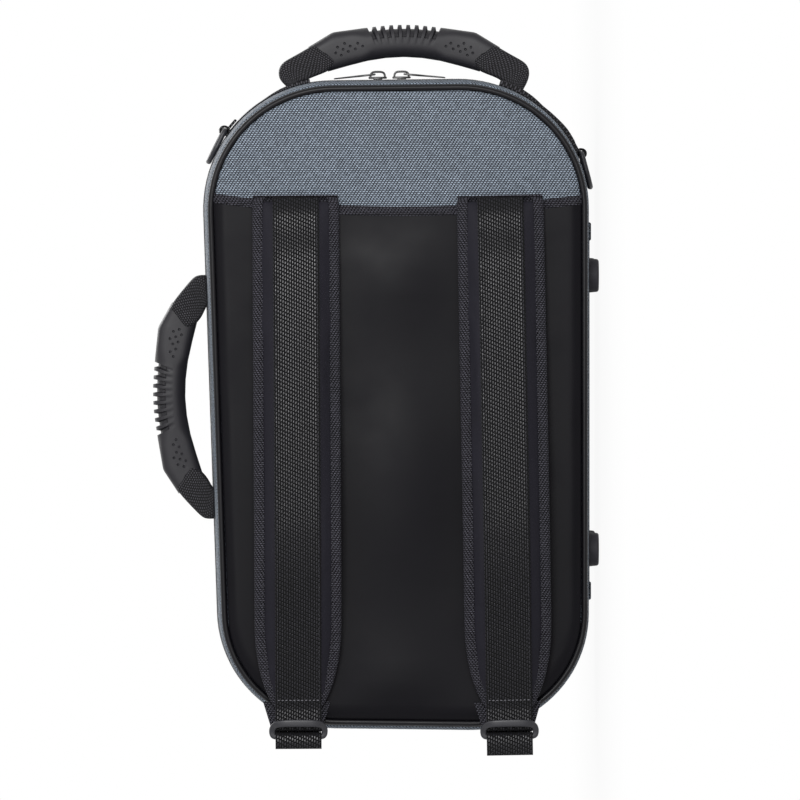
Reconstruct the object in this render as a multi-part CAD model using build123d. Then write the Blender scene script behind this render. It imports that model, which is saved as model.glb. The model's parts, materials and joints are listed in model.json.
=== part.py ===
from build123d import *
from math import cos, degrees, radians, sin, tan
import os

# Lengths are in millimetres and angles in degrees. While it is built, the case stands on the
# rubber feet of its hinge side: X runs along it towards the top handle, Y through its depth
# towards the lid, Z up from the ground, and the shoulder straps are on the -Y side.

# Body at its widest outline
feet_side_length = 427.0
handle_side_length = 421.0
top_end_width = 253.5
bottom_end_width = 239.0
top_corner_radius = 84.0
bottom_corner_radius = 77.0
half_depth = 80.0
mouth_y = 14.0
mouth_gap = 0.3
edge_inset = 3.0
# Each pair: how far from mid-depth to the panel's edge, and how much of the inset is reached there
bulge_shares = [(0.5, 0.0), (0.75, 0.4), (1.0, 1.0)]

# Walls
skin_thickness = 1.2
foam_thickness = 8.0
lining_thickness = 2.0
panel_thickness = 1.5
piping_radius = 2.0
piping_proud = 1.0
seam = 0.1
contact = 0.02
overrun = 5.0

# Inside
lining_below_mouth = 1.0
insert_below_mouth = 28.0
recess_floor_thickness = 8.0
lid_pad_thickness = 7.0
lid_pad_margin = 12.0
bell_length = 105.0
bell_width = 124.0
bell_corner_radius = 52.0
throat_length = 60.0
throat_width = 62.0
valve_length = 112.0
valve_width = 118.0
leadpipe_length = 104.0
leadpipe_width = 82.0
recess_corner_radius = 12.0
recess_end_wall = 12.0
recess_side_wall = 9.0
compartment_length = 185.0
compartment_width = 54.0
compartment_wall = 12.0
mouthpiece_block_length = 66.0
mouthpiece_bore_radius = 10.5
mouthpiece_bore_depth = 40.0
mouthpiece_spacing = 30.0
hold_strap_width = 38.0
hold_strap_thickness = 1.6
hold_strap_overlap = 40.0
patch_thickness = 1.2
patch_border = 3.0

# Zip and fabric hinge
hinge_top_x = 113.0
hinge_bottom_x = -122.0
zip_tape_width = 10.0
coil_width = 1.7
coil_thickness = 2.6
coil_proud = 0.8
hinge_axis_drop = 0.9
hinge_roll_radius = 1.2
hinge_clearance = 0.3
end_tab_length = 12.0
end_tab_width = 17.0
end_tab_thickness = 2.6
end_tab_setback = 4.5
patch_length = 20.0
patch_width = 24.0
patch_tape_thickness = 0.8
patch_x = -9.0
slider_length = 12.0
slider_width = 8.0
slider_plate = 1.4
slider_gap = 0.2
slider_jaw_depth = 1.8
bridge_length = 8.0
bridge_width = 2.4
bridge_height = 4.2
bridge_wall = 1.1
slider_offset = 7.8
slider_centre_z = 135.4
pull_length = 27.0
pull_width = 6.4
pull_thickness = 1.2
pull_pin_radius = 0.7
pull_arm = 1.2

# Rubber feet
foot_height = 6.5
foot_radius = 11.5
foot_tip_radius = 10.6
foot_rim_radius = 1.6
foot_top_x = 84.5
foot_bottom_x = -94.3
foot_y = 50.0
lid_foot_y = 50.0
screw_radius = 2.0
screw_head_radius = 3.8
screw_head_height = 2.2
screw_recess_radius = 4.6
screw_recess_depth = 3.2
screw_clearance = 0.1
nut_radius = 8.0
nut_thickness = 2.0

# Carrying handles, the same grip twice
handle_y = -12.0
handle_half_length = 82.5
handle_height = 33.4
grip_width = 25.0
grip_fillet = 4.0
grip_slot_pitch = 5.6
grip_slot_width = 2.8
grip_slot_depth = 3.4
grip_slot_count = 9
handle_core_width = 19.0
handle_core_thickness = 4.0
arm_width = 27.0
arm_gap = 0.6
anchor_depth = 12.0
handle_swing = 20.0
handle_swing_margin = 2.0
top_handle_axis_height = 1.0
side_handle_axis_height = 2.5
top_handle_z = 126.5
top_handle_lean = 0.7
side_handle_x = 5.0
# Outlines of one end, as shares of the handle's half length and of its height
grip_crown_shares = (0.577, 0.9)
grip_end_shares = [(0.766, 0.608), (0.57, 0.392), (0.6, 0.141)]
grip_inner_share = 0.422
arm_outline_shares = [(0.727, 0.063), (0.765, 0.0), (0.976, 0.0), (1.0, 0.1), (1.0, 0.22), (0.948, 0.374)]
anchor_outline_shares = [(0.985, 0.0), (0.765, 0.0), (0.83, -1.0), (0.96, -1.0)]
core_arch_shares = (0.6, 0.39, 0.66)

# Webbing bands round the top corners, with a D-ring at each end
band_width = 30.0
band_thickness = 1.5
# Share of the handle's half length at which both bands start
band_start_share = 0.74
upper_band_end_angle = 36.0
lower_band_end_angle = 24.0
ring_wire_radius = 1.7
ring_length = 26.0
ring_inside_width = 30.0
ring_bow_radius = 11.0
ring_clearance = 0.3
ring_lean = 9.0
loop_base_length = 10.0

# Neoprene sleeve on the back
sleeve_thickness = 3.0
sleeve_top_upper_x = 141.0
sleeve_top_middle_x = 129.7
sleeve_top_lower_x = 138.0
sleeve_chamfer = 1.6
binding_height = 6.2
binding_thickness = 0.7

# Shoulder straps
strap_spacing = 133.4
strap_mid_share = 0.4978
upper_strap_lean = 0.3
lower_strap_lean = 1.0
strap_fold_x = 132.5
strap_end_x = -197.0
strap_half_width = 28.5
strap_thickness = 9.0
strap_edge_thickness = 4.4
strap_binding_width = 7.0
strap_standoff = 15.0
strap_seat_gap = 1.0
webbing_width = 30.0
webbing_thickness = 1.5
webbing_flat_margin = 0.8
# Each row: shares of the strap's length, stand-off, thickness and half width
strap_station_shares = [
    (0.0, 0.0, 0.55, 1.0),
    (0.05, 0.05, 0.75, 1.0),
    (0.12, 0.2, 1.0, 1.0),
    (0.4, 0.68, 1.0, 1.0),
    (0.6, 0.95, 1.0, 1.0),
    (0.67, 1.0, 1.0, 1.0),
    (0.74, 0.93, 1.0, 1.0),
    (0.86, 0.5, 1.0, 0.99),
    (0.92, 0.27, 0.9, 0.9),
    (0.965, 0.16, 0.7, 0.75),
    (1.0, 0.09, 0.49, 0.56),
]
fold_wrap_thickness = 1.8
fold_clearance = 0.3
fold_foot_length = 5.0
fold_start_share = 0.7
lock_width = 38.5
lock_length = 12.6
lock_rail = 3.2
lock_corner_radius = 4.0
lock_rail_thickness = 3.0
lock_top_bar_height = 4.5
lock_top_bar_thickness = 2.5
lock_tilt_room = 1.6
lock_mid_bar_radius = 1.2
lock_low_bar_radius = 1.6
lock_fit = 0.3
lock_drop = 8.2
lock_mid_drop = 12.2
lock_low_drop = 19.3
tail_gap = 0.8
anchor_tab_width = 44.0
anchor_tab_narrow = 32.0
anchor_tab_top_x = -193.0
anchor_tab_thickness = 2.2
upper_flap_length = 27.7
lower_flap_length = 30.9
hem_length = 6.0

# Places worked out from the sizes above
crest_z = foot_height
edge_y = half_depth + piping_proud - 2 * piping_radius
panel_back_y = half_depth - panel_thickness
panel_inset = edge_inset + 2 * piping_radius + seam
cavity_inset = edge_inset + skin_thickness + foam_thickness
cavity_floor_y = panel_back_y - foam_thickness
lining_floor_y = cavity_floor_y - lining_thickness
insert_inset = cavity_inset + lining_thickness
base_mouth_y = mouth_y - mouth_gap / 2
lid_mouth_y = mouth_y + mouth_gap / 2
insert_top_y = mouth_y - insert_below_mouth
recess_floor_y = -lining_floor_y + recess_floor_thickness
hinge_axis = (0, mouth_y, crest_z - hinge_axis_drop)
sleeve_face_y = half_depth + sleeve_thickness
strap_seat_out = sleeve_face_y + binding_thickness + strap_seat_gap
strap_fold_half = strap_thickness * strap_station_shares[0][2] / 2
strap_fold_out = strap_seat_out + strap_fold_half
base_side = -1
lid_side = 1


def level(y):
    """Plane at depth y whose own axes are X and Z, facing the shoulder straps."""
    return Plane(origin=(0, y, 0), x_dir=(1, 0, 0), z_dir=(0, -1, 0))


def across(x):
    """Plane across the case at x whose own axes are Z and outwards from the back."""
    return Plane(origin=(x, 0, 0), x_dir=(0, 0, 1), z_dir=(1, 0, 0))


def slab(shape, y_low, y_high):
    """Straight solid of a flat shape between two depths."""
    return extrude(level(y_high) * shape, amount=y_high - y_low, dir=(0, -1, 0))


def block(x_range, y_range, z_range):
    """Box between two places along each axis."""
    size = [high - low for low, high in (x_range, y_range, z_range)]
    middle = [(high + low) / 2 for low, high in (x_range, y_range, z_range)]
    return Pos(*middle) * Box(*size)


def end_x(z, toward_top=True):
    """Where the crest's straight end lies at height z."""
    width = top_end_width if toward_top else bottom_end_width
    share = (z - crest_z) / width
    reach = feet_side_length + (handle_side_length - feet_side_length) * share
    return reach / 2 if toward_top else -reach / 2


def end_slope():
    """Unit direction up along the crest's top end."""
    return Vector((handle_side_length - feet_side_length) / 2, 0, top_end_width).normalized()


def handle_side_z(x):
    """Height of the crest's handle side at x."""
    share = (x + handle_side_length / 2) / handle_side_length
    return crest_z + bottom_end_width + (top_end_width - bottom_end_width) * share


def corners(inset):
    """The outline's four corners, anticlockwise, once every side has moved in by inset."""
    plain = [
        Vector(-feet_side_length / 2, crest_z),
        Vector(feet_side_length / 2, crest_z),
        Vector(handle_side_length / 2, crest_z + top_end_width),
        Vector(-handle_side_length / 2, crest_z + bottom_end_width),
    ]
    moved = []
    for index, here in enumerate(plain):
        arriving = (here - plain[index - 1]).normalized()
        leaving = (plain[(index + 1) % len(plain)] - here).normalized()
        inward = Vector(-arriving.Y, arriving.X)
        also_inward = Vector(-leaving.Y, leaving.X)
        reach = inset / (1 + inward.dot(also_inward))
        moved.append(here + (inward + also_inward) * reach)
    return moved


def outline_path(inset):
    """Closed line of the body's outline, drawn inwards by inset."""
    radii = [bottom_corner_radius, top_corner_radius, top_corner_radius, bottom_corner_radius]
    return FilletPolyline(*corners(inset), radius=[r - inset for r in radii], close=True)


def outline(inset):
    """Face of the body's outline, drawn inwards by inset."""
    return make_face(outline_path(inset))


def ring(outer_inset, inner_inset):
    """Flat ring between two insets of the outline."""
    return outline(outer_inset) - outline(inner_inset)


def half_body(side, inset, start_y):
    """One half of the bulging body, from start_y to its panel's edge."""
    stations = [(start_y, 0.0)]
    for along, inward in bulge_shares:
        stations.append((side * edge_y * along, edge_inset * inward))
    return loft([level(y) * outline(inset + extra) for y, extra in stations], ruled=True)


def side_slab(side, shape, near, far):
    """Slab between two distances from mid-depth, on the base's or the lid's side."""
    return slab(shape, min(side * near, side * far), max(side * near, side * far))


def rounded_pocket(x_range, z_range, radius):
    """Flat rounded rectangle between two places along X and Z."""
    length = x_range[1] - x_range[0]
    width = z_range[1] - z_range[0]
    place = Pos((x_range[0] + x_range[1]) / 2, (z_range[0] + z_range[1]) / 2)
    return place * RectangleRounded(length, width, min(radius, length / 3, width / 3))


def hinge_zone(margin):
    """Space at the feet side between the two ends of the zip."""
    x_range = (hinge_bottom_x - margin, hinge_top_x + margin)
    reach = end_tab_width + half_depth
    return block(x_range, (-reach, reach), (-overrun, crest_z + foam_thickness))


def hinge_roll(radius):
    """Round bead of fabric on the hinge line."""
    bead = Cylinder(radius, hinge_top_x - hinge_bottom_x, rotation=(0, 90, 0))
    return Pos((hinge_top_x + hinge_bottom_x) / 2, mouth_y, crest_z - hinge_axis_drop) * bead


def foot_places(side):
    """Where the two feet of one half stand."""
    y = -foot_y if side == base_side else lid_foot_y
    return [(foot_top_x, y), (foot_bottom_x, y)]


def upright(radius, z_low, z_high, place):
    """Round upright solid at a foot's place."""
    x, y = place
    return Pos(x, y, (z_low + z_high) / 2) * Cylinder(radius, z_high - z_low)


def foot_holes(side, radius, z_low, z_high):
    """Upright cuts at both feet of one half."""
    return [upright(radius, z_low, z_high, place) for place in foot_places(side)]


# Body shells, skins, panels and piping


def make_gusset(side, start_y):
    """Nylon skin round one half, between its zip tape and its piping."""
    skin = half_body(side, 0, start_y) - half_body(side, skin_thickness, start_y)
    holes = foot_holes(side, screw_radius + screw_clearance, -overrun, crest_z + foam_thickness)
    return skin - holes


def make_shell(side, rim_y):
    """Stiff foam tray of one half, open at the mouth."""
    outer = half_body(side, skin_thickness, rim_y)
    outer += side_slab(side, outline(panel_inset), edge_y, panel_back_y)
    cavity_rim = rim_y - side * overrun
    cavity = slab(
        outline(cavity_inset),
        min(side * cavity_floor_y, cavity_rim),
        max(side * cavity_floor_y, cavity_rim),
    )
    shell = outer - cavity
    wall_top = crest_z + cavity_inset + lining_thickness
    shell -= foot_holes(side, screw_radius + screw_clearance, -overrun, wall_top)
    for place in foot_places(side):
        shell -= upright(nut_radius + seam, nut_bottom_z(), wall_top, place)
    return shell - hinge_roll(hinge_roll_radius + hinge_clearance)


def nut_bottom_z():
    """Height of the nut's lower face, sunk into the foam's inner side."""
    return crest_z + cavity_inset - nut_thickness


def make_panel(side):
    """Nylon face panel inside the piping."""
    return side_slab(side, outline(panel_inset), panel_back_y, half_depth)


def make_piping(side):
    """Round cord sewn along the panel's edge."""
    centre_y = side * (half_depth + piping_proud - piping_radius)
    path = level(centre_y) * outline_path(edge_inset + piping_radius)
    start = Plane(origin=path @ 0, z_dir=path % 0)
    return sweep(start * Circle(piping_radius - contact), path=path)


def make_lining(side, rim_y):
    """Plush tray inside one half."""
    rim = rim_y + side * lining_below_mouth
    floor = side * cavity_floor_y
    tray = slab(outline(cavity_inset), min(floor, rim), max(floor, rim))
    floor = side * lining_floor_y
    above = rim - side * overrun
    return tray - slab(outline(insert_inset), min(floor, above), max(floor, above))


# Inside of the base


def instrument_recess():
    """Flat shape of the recess that the cornet lies in."""
    floor = corners(insert_inset)
    low_z = floor[0].Y + recess_side_wall
    mid_z = low_z + bell_width / 2
    x = floor[0].X + recess_end_wall
    bell = rounded_pocket((x, x + bell_length), (low_z, low_z + bell_width), bell_corner_radius)
    x += bell_length - recess_corner_radius
    throat_z = (mid_z - throat_width / 2, mid_z + throat_width / 2)
    throat = rounded_pocket(
        (x - recess_corner_radius, x + throat_length), throat_z, recess_corner_radius / 2
    )
    x += throat_length - recess_corner_radius
    valve_z = (mid_z - valve_width / 2, mid_z + valve_width / 2)
    valves = rounded_pocket((x, x + valve_length), valve_z, recess_corner_radius)
    x += valve_length - recess_corner_radius
    lead_z = (mid_z - leadpipe_width / 2, mid_z + leadpipe_width / 2)
    lead = rounded_pocket((x, x + leadpipe_length), lead_z, recess_corner_radius)
    return bell + throat + valves + lead


def compartment_ranges():
    """X and Z ranges of the accessory compartment beside the instrument."""
    low_z = corners(insert_inset)[0].Y + recess_side_wall + bell_width + compartment_wall
    high_x = mouthpiece_block_x()[0] - compartment_wall
    return (high_x - compartment_length, high_x), (low_z, low_z + compartment_width)


def mouthpiece_block_x():
    """X range of the mouthpiece holder."""
    high_x = corners(insert_inset)[2].X - top_corner_radius
    return high_x - mouthpiece_block_length / 2, high_x + mouthpiece_block_length / 2


def make_insert():
    """Shaped foam block with the cornet's recess and the accessory compartment."""
    insert = slab(outline(insert_inset), -lining_floor_y, insert_top_y)
    top = insert_top_y + overrun
    insert -= slab(instrument_recess(), recess_floor_y, top)
    x_range, z_range = compartment_ranges()
    insert -= slab(rounded_pocket(x_range, z_range, recess_corner_radius), recess_floor_y, top)
    holder = rounded_pocket(mouthpiece_block_x(), z_range, recess_corner_radius)
    return insert - slab(holder, recess_floor_y, top)


def make_mouthpiece_holder():
    """Firm block with two bores for mouthpieces."""
    x_range = mouthpiece_block_x()
    z_range = compartment_ranges()[1]
    face = rounded_pocket(x_range, z_range, recess_corner_radius)
    holder = slab(face, recess_floor_y, insert_top_y)
    mid_x = sum(x_range) / 2
    mid_z = sum(z_range) / 2
    for step in (-1, 1):
        centre = Pos(mid_x + step * mouthpiece_spacing / 2, mid_z)
        bore = centre * Circle(mouthpiece_bore_radius)
        holder -= slab(bore, insert_top_y - mouthpiece_bore_depth, insert_top_y + overrun)
    return holder


def hold_strap_x():
    """X range of the strap that holds the cornet down."""
    middle = corners(insert_inset)[0].X + recess_end_wall + bell_length + throat_length
    return middle - hold_strap_width / 2, middle + hold_strap_width / 2


def hold_strap_ends():
    """Heights of the strap's two ends on the insert, either side of the valve recess."""
    low_z = corners(insert_inset)[0].Y
    high_z = low_z + recess_side_wall + bell_width + compartment_wall
    return low_z + seam, high_z - seam


def make_hold_strap_lower():
    """Lower half of the hold-down strap, lying on the insert and over the recess."""
    x_range = hold_strap_x()
    low_z, high_z = hold_strap_ends()
    middle = (low_z + high_z) / 2
    y_range = (insert_top_y, insert_top_y + hold_strap_thickness)
    return block(x_range, y_range, (low_z, middle + hold_strap_overlap / 2))


def make_hold_strap_upper():
    """Upper half of the hold-down strap, closing on top of the lower half."""
    x_range = hold_strap_x()
    low_z, high_z = hold_strap_ends()
    middle = (low_z + high_z) / 2
    step_y = insert_top_y + hold_strap_thickness + patch_thickness
    over = block(
        x_range,
        (step_y, step_y + hold_strap_thickness),
        (middle - hold_strap_overlap / 2, high_z),
    )
    foot_z = (high_z - compartment_wall / 2, high_z)
    return over + block(x_range, (insert_top_y, step_y), foot_z)


def make_hook_and_loop():
    """Hook and loop patch between the two halves of the hold-down strap."""
    low_x, high_x = hold_strap_x()
    low_z, high_z = hold_strap_ends()
    middle = (low_z + high_z) / 2
    low_y = insert_top_y + hold_strap_thickness
    reach = hold_strap_overlap / 2 - patch_border
    return block(
        (low_x + patch_border, high_x - patch_border),
        (low_y, low_y + patch_thickness),
        (middle - reach, middle + reach),
    )


def make_lid_pad():
    """Foam pad on the lid's lining that presses the cornet into its recess."""
    face = outline(insert_inset + lid_pad_margin)
    low = lining_floor_y - lid_pad_thickness
    pad = slab(face, low, lining_floor_y)
    rim = pad.faces().sort_by(Axis.Y)[0].edges()
    return chamfer(rim, lid_pad_thickness / 3)


# Zip and hinge


def make_zip_tape(side, rim_y):
    """Woven tape beside the coil, except where the two halves are hinged."""
    far_y = mouth_y + side * zip_tape_width
    near_y = rim_y + side * coil_width
    tape = slab(ring(0, skin_thickness), min(far_y, near_y), max(far_y, near_y))
    return tape - hinge_zone(0)


def make_zip_coil(side, rim_y):
    """Coil of one half of the zip."""
    far_y = rim_y + side * coil_width
    face = ring(-coil_proud, coil_thickness - coil_proud)
    return slab(face, min(far_y, rim_y), max(far_y, rim_y)) - hinge_zone(0)


def cut_for_coil(shell, rim_y, side):
    """Shell with the rebate that the coil's inner side sits in."""
    far_y = rim_y + side * coil_width
    near_y = rim_y - side * overrun
    band = ring(-overrun, coil_thickness - coil_proud + seam)
    return shell - slab(band, min(far_y, near_y), max(far_y, near_y))


def make_hinge_strip(side):
    """Fabric between one half's gusset and the bead on the hinge line."""
    far_y = mouth_y + side * zip_tape_width
    near_y = mouth_y + side * (hinge_roll_radius + hinge_clearance)
    strip = slab(ring(0, skin_thickness), min(far_y, near_y), max(far_y, near_y))
    return strip & hinge_zone(-seam)


def make_hinge_tape():
    """Base's side of the fabric hinge, with its bead."""
    bead = hinge_roll(hinge_roll_radius)
    low_y = mouth_y - hinge_roll_radius - hinge_clearance - contact
    x_range = (hinge_bottom_x, hinge_top_x)
    z_range = (crest_z - hinge_axis_drop / 2, crest_z + hinge_roll_radius / 2)
    neck = block(x_range, (low_y, mouth_y), z_range)
    return make_hinge_strip(base_side) + bead + neck


def make_hinge_patch():
    """Short reinforcing tape over the base's side of the hinge."""
    x_range = (patch_x - patch_length / 2, patch_x + patch_length / 2)
    high_y = mouth_y - hinge_roll_radius - hinge_clearance
    z_range = (crest_z - patch_tape_thickness, crest_z)
    return block(x_range, (high_y - patch_width, high_y), z_range)


def make_end_tabs():
    """Folded fabric tabs that close the zip's two ends."""
    high_y = mouth_y - end_tab_setback
    z_range = (crest_z - end_tab_thickness, crest_z)
    tabs = []
    for x in (hinge_top_x, hinge_bottom_x):
        x_range = (x - end_tab_length / 2, x + end_tab_length / 2)
        tab = block(x_range, (high_y - end_tab_width, high_y), z_range)
        tabs.append(fillet(tab.faces().sort_by(Axis.Z)[0].edges(), end_tab_thickness / 2))
    return tabs


def slider_z(side):
    """Height of one slider on the top end."""
    return slider_centre_z + side * slider_offset


def slider_plane(side):
    """Frame of one slider: out from the end, through its depth, and up along the end."""
    z = slider_z(side)
    along = end_slope()
    return Plane(origin=(end_x(z), mouth_y, z), x_dir=(along.Z, 0, -along.X), z_dir=along)


def make_slider(side):
    """Zip slider: plate over the coil, jaw on the base's side and bridge for the pull."""
    x = coil_proud + slider_gap
    half = slider_length / 2
    low_y = -slider_width / 2
    high_y = slider_width / 2
    plate = block((x, x + slider_plate), (low_y, high_y), (-half, half))
    upright_edges = plate.edges().filter_by(Axis.X)
    plate = fillet(upright_edges, slider_width / 4)
    jaw_y = (low_y, low_y + slider_plate / 2)
    jaw_z = (-half / 2, half / 2)
    plate += block((x - slider_jaw_depth / 4, x + slider_plate / 2), jaw_y, jaw_z)
    top = x + slider_plate
    arch_y = (-bridge_width / 2, bridge_width / 2)
    arch_z = (-bridge_length / 2, bridge_length / 2)
    arch = block((top - seam, top + bridge_height), arch_y, arch_z)
    arch = fillet(arch.faces().sort_by(Axis.X)[-1].edges().filter_by(Axis.Y), bridge_height / 3)
    hole_z = (arch_z[0] + bridge_wall, arch_z[1] - bridge_wall)
    hole_y = (arch_y[0] - overrun, arch_y[1] + overrun)
    bridge = arch - block((top, top + bridge_height - bridge_wall), hole_y, hole_z)
    return slider_plane(side) * (plate + bridge)


def pull_pin_place(side):
    """Where the pull's pin passes under the bridge, in its slider's frame: out and along."""
    x = coil_proud + slider_gap + slider_plate + (bridge_height - bridge_wall) / 2
    return x, side * (bridge_length / 2 - bridge_wall - pull_pin_radius - slider_gap)


def make_pull(side):
    """Zip pull: a pin under the bridge, two arms and a flat tab."""
    x, z = pull_pin_place(side)
    pin = Pos(x, 0, z) * Cylinder(pull_pin_radius, pull_width, rotation=(90, 0, 0))
    reach = bridge_length
    x_range = (x - pull_thickness / 2, x + pull_thickness / 2)
    pull = pin
    for edge in (-1, 1):
        outer = edge * pull_width / 2
        inner = outer - edge * pull_arm
        ends = sorted((z, z + side * (reach + seam)))
        pull += block(x_range, sorted((outer, inner)), ends)
    tab_z = sorted((z + side * reach, z + side * pull_length))
    tab = block(x_range, (-pull_width / 2, pull_width / 2), tab_z)
    tip = tab.faces().sort_by(Axis.Z)[-1 if side > 0 else 0]
    pull += fillet(tip.edges().filter_by(Axis.X), pull_width / 3)
    return slider_plane(side) * pull


# Feet and their fasteners


def make_foot(place, body):
    """Rubber foot, seated on the gusset, with a recess for its screw."""
    x, y = place
    seat = edge_inset + crest_z
    foot = Pos(x, y, seat / 2) * Cone(foot_tip_radius, foot_radius, seat)
    foot = fillet(foot.edges().sort_by(Axis.Z)[0], foot_rim_radius)
    foot -= upright(screw_recess_radius, -overrun, screw_recess_depth, place)
    foot -= upright(screw_radius + screw_clearance, -overrun, seat + overrun, place)
    return foot - body


def make_screw(place):
    """Pan-head screw from the foot's recess into the nut."""
    head_z = screw_recess_depth - screw_head_height
    head = upright(screw_head_radius, head_z, screw_recess_depth, place)
    tip_z = nut_bottom_z() + nut_thickness
    return head + upright(screw_radius, screw_recess_depth - contact, tip_z, place)


def make_nut(place):
    """Flanged nut sunk into the foam behind a foot."""
    low_z = nut_bottom_z()
    nut = upright(nut_radius, low_z + contact, low_z + nut_thickness, place)
    return nut - upright(screw_radius + screw_clearance, -overrun, low_z + nut_radius, place)


# Handles, built flat with the hinge line at zero height


def handle_point(shares, side=1):
    """Point of the handle's outline from its shares of half length and height."""
    return (side * shares[0] * handle_half_length, shares[1] * handle_height)


def through_handle(face, width):
    """Straight solid of a flat shape, centred on the handle's depth."""
    return extrude(Pos(0, 0, -width / 2) * face, amount=width, dir=(0, 0, 1))


def make_grip_block():
    """Moulded grip before its slots: an arched bar with notched ends."""
    crown = [handle_point(grip_crown_shares, side) for side in (-1, 1)]
    right = [handle_point(shares) for shares in grip_end_shares]
    left = [handle_point(shares, -1) for shares in grip_end_shares]
    face = make_face(
        [
            ThreePointArc(crown[0], (0, handle_height), crown[1]),
            Polyline(crown[1], *right),
            ThreePointArc(right[-1], (0, grip_inner_share * handle_height), left[-1]),
            Polyline(*reversed(left), crown[0]),
        ]
    )
    bar = through_handle(face, grip_width)
    return fillet(bar.edges().filter_by(GeomType.CIRCLE), grip_fillet)


def make_handle_webbing():
    """Webbing of a handle: two arms joined by a flat core through the grip."""
    reach, low, high = core_arch_shares
    half = handle_core_thickness / 2
    end_x_reach, end_y = handle_point((reach, low))
    top = high * handle_height
    over = ThreePointArc((-end_x_reach, end_y + half), (0, top + half), (end_x_reach, end_y + half))
    under = ThreePointArc((end_x_reach, end_y - half), (0, top - half), (-end_x_reach, end_y - half))
    core = make_face([over, Line(over @ 1, under @ 0), under, Line(under @ 1, over @ 0)])
    webbing = through_handle(core, handle_core_width)
    for side in (-1, 1):
        points = [handle_point(shares, side) for shares in grip_end_shares + arm_outline_shares]
        points = [(x, max(y, arm_gap)) for x, y in points]
        webbing += through_handle(Polygon(*points, align=None), arm_width)
    return webbing - swing_room()


def swing_room():
    """Space under a handle's arms that lets it lean to both sides."""
    rise = tan(radians(handle_swing + handle_swing_margin)) * arm_width
    start = -handle_half_length - overrun
    across_handle = Plane(origin=(start, 0, 0), x_dir=(0, 0, 1), z_dir=(1, 0, 0))
    length = -2 * start
    room = []
    for side in (-1, 1):
        wedge = Polygon((0, 0), (side * arm_width, 0), (side * arm_width, -rise), align=None)
        room.append(extrude(across_handle * wedge, amount=length, dir=(1, 0, 0)))
    return room


def make_grip(webbing):
    """Moulded grip with slots across its crown."""
    grip = make_grip_block()
    crown_x, crown_y = handle_point(grip_crown_shares)
    drop = handle_height - crown_y
    crown_radius = (crown_x * crown_x + drop * drop) / (2 * drop)
    step = degrees(grip_slot_pitch / crown_radius)
    for index in range(grip_slot_count):
        slot = Pos(0, crown_radius - grip_slot_depth / 2 + overrun / 2, 0) * Box(
            grip_slot_width, grip_slot_depth + overrun, grip_width + overrun
        )
        turn = Rot(0, 0, (index - (grip_slot_count - 1) / 2) * step)
        grip -= Pos(0, handle_height - crown_radius, 0) * turn * slot
    return grip - webbing


def top_handle_plane():
    """Frame of the top handle: along the end, out from it, and through its depth."""
    along = end_slope().rotate(Axis.Y, top_handle_lean)
    foot = Vector(end_x(top_handle_z), handle_y, top_handle_z)
    out = Vector(along.Z, 0, -along.X)
    return Plane(origin=foot + out * top_handle_axis_height, x_dir=along, z_dir=along.cross(out))


def side_slope():
    """Unit direction along the crest's handle side."""
    rise = top_end_width - bottom_end_width
    return Vector(handle_side_length, 0, rise).normalized()


def side_handle_plane():
    """Frame of the side handle: along the side, out from it, and through its depth."""
    slope = side_slope()
    out = Vector(-slope.Z, 0, slope.X)
    foot = Vector(side_handle_x, handle_y, handle_side_z(side_handle_x))
    return Plane(origin=foot + out * side_handle_axis_height, x_dir=slope, z_dir=slope.cross(out))


def make_anchors(plane, body):
    """Stitched webbing ends that rise from the gusset to both necks of a handle."""
    anchors = []
    for side in (-1, 1):
        reach = side * handle_half_length
        points = [(x * reach, y * anchor_depth) for x, y in anchor_outline_shares]
        post = through_handle(Polygon(*points, align=None), arm_width)
        anchors.append(plane * post - body)
    return anchors


# Webbing band and D-rings


def corner_centre(upper):
    """Centre of the rounded corner at the top end, on the handle side or the feet side."""
    inset = corners(top_corner_radius)
    return inset[2] if upper else inset[1]


def corner_direction(upper, angle):
    """Outward direction on a rounded corner, by its angle from upright."""
    sign = 1 if upper else -1
    return Vector(sin(radians(angle)), sign * cos(radians(angle)))


def band_end_angle(upper):
    """Angle at which the band ends on one of the corners."""
    return upper_band_end_angle if upper else lower_band_end_angle


def ring_frame(upper):
    """Bar place, outward direction and tangent direction of one D-ring, in X and Z."""
    out = corner_direction(upper, band_end_angle(upper))
    sign = 1 if upper else -1
    along = Vector(-out.Y * sign, out.X * sign)
    lift = ring_wire_radius + ring_clearance + band_thickness + contact
    return corner_centre(upper) + out * (top_corner_radius + lift), out, along


def ring_direction(upper):
    """Direction in which one D-ring lies at rest, in X and Z."""
    bar, out, along = ring_frame(upper)
    return along * cos(radians(ring_lean)) - out * sin(radians(ring_lean))


def ring_eye(upper):
    """Outer disc of the webbing eye round one D-ring's bar."""
    bar, out, along = ring_frame(upper)
    return Pos(bar.X, bar.Y) * Circle(ring_wire_radius + ring_clearance + band_thickness)


def make_band():
    """Webbing bands round both top corners, each from a handle's arm to a D-ring."""
    reach = feet_side_length
    low, high = corner_centre(False), corner_centre(True)
    low_far = low + corner_direction(False, lower_band_end_angle) * reach
    high_far = high + corner_direction(True, upper_band_end_angle) * reach
    points = [low, low_far, Vector(reach, low_far.Y), Vector(reach, high_far.Y), high_far, high]
    keep = Polygon(*[(point.X, point.Y) for point in points], align=None)
    flat = (ring(-band_thickness, 0) & keep) - ring_eye(True) - ring_eye(False)
    start = handle_half_length * band_start_share
    flat -= Pos(reach / 2, top_handle_z) * Rectangle(reach, 2 * start)
    low_y, high_y = handle_y - band_width / 2, handle_y + band_width / 2
    return [slab(face, low_y, high_y) for face in flat.faces()]


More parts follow.
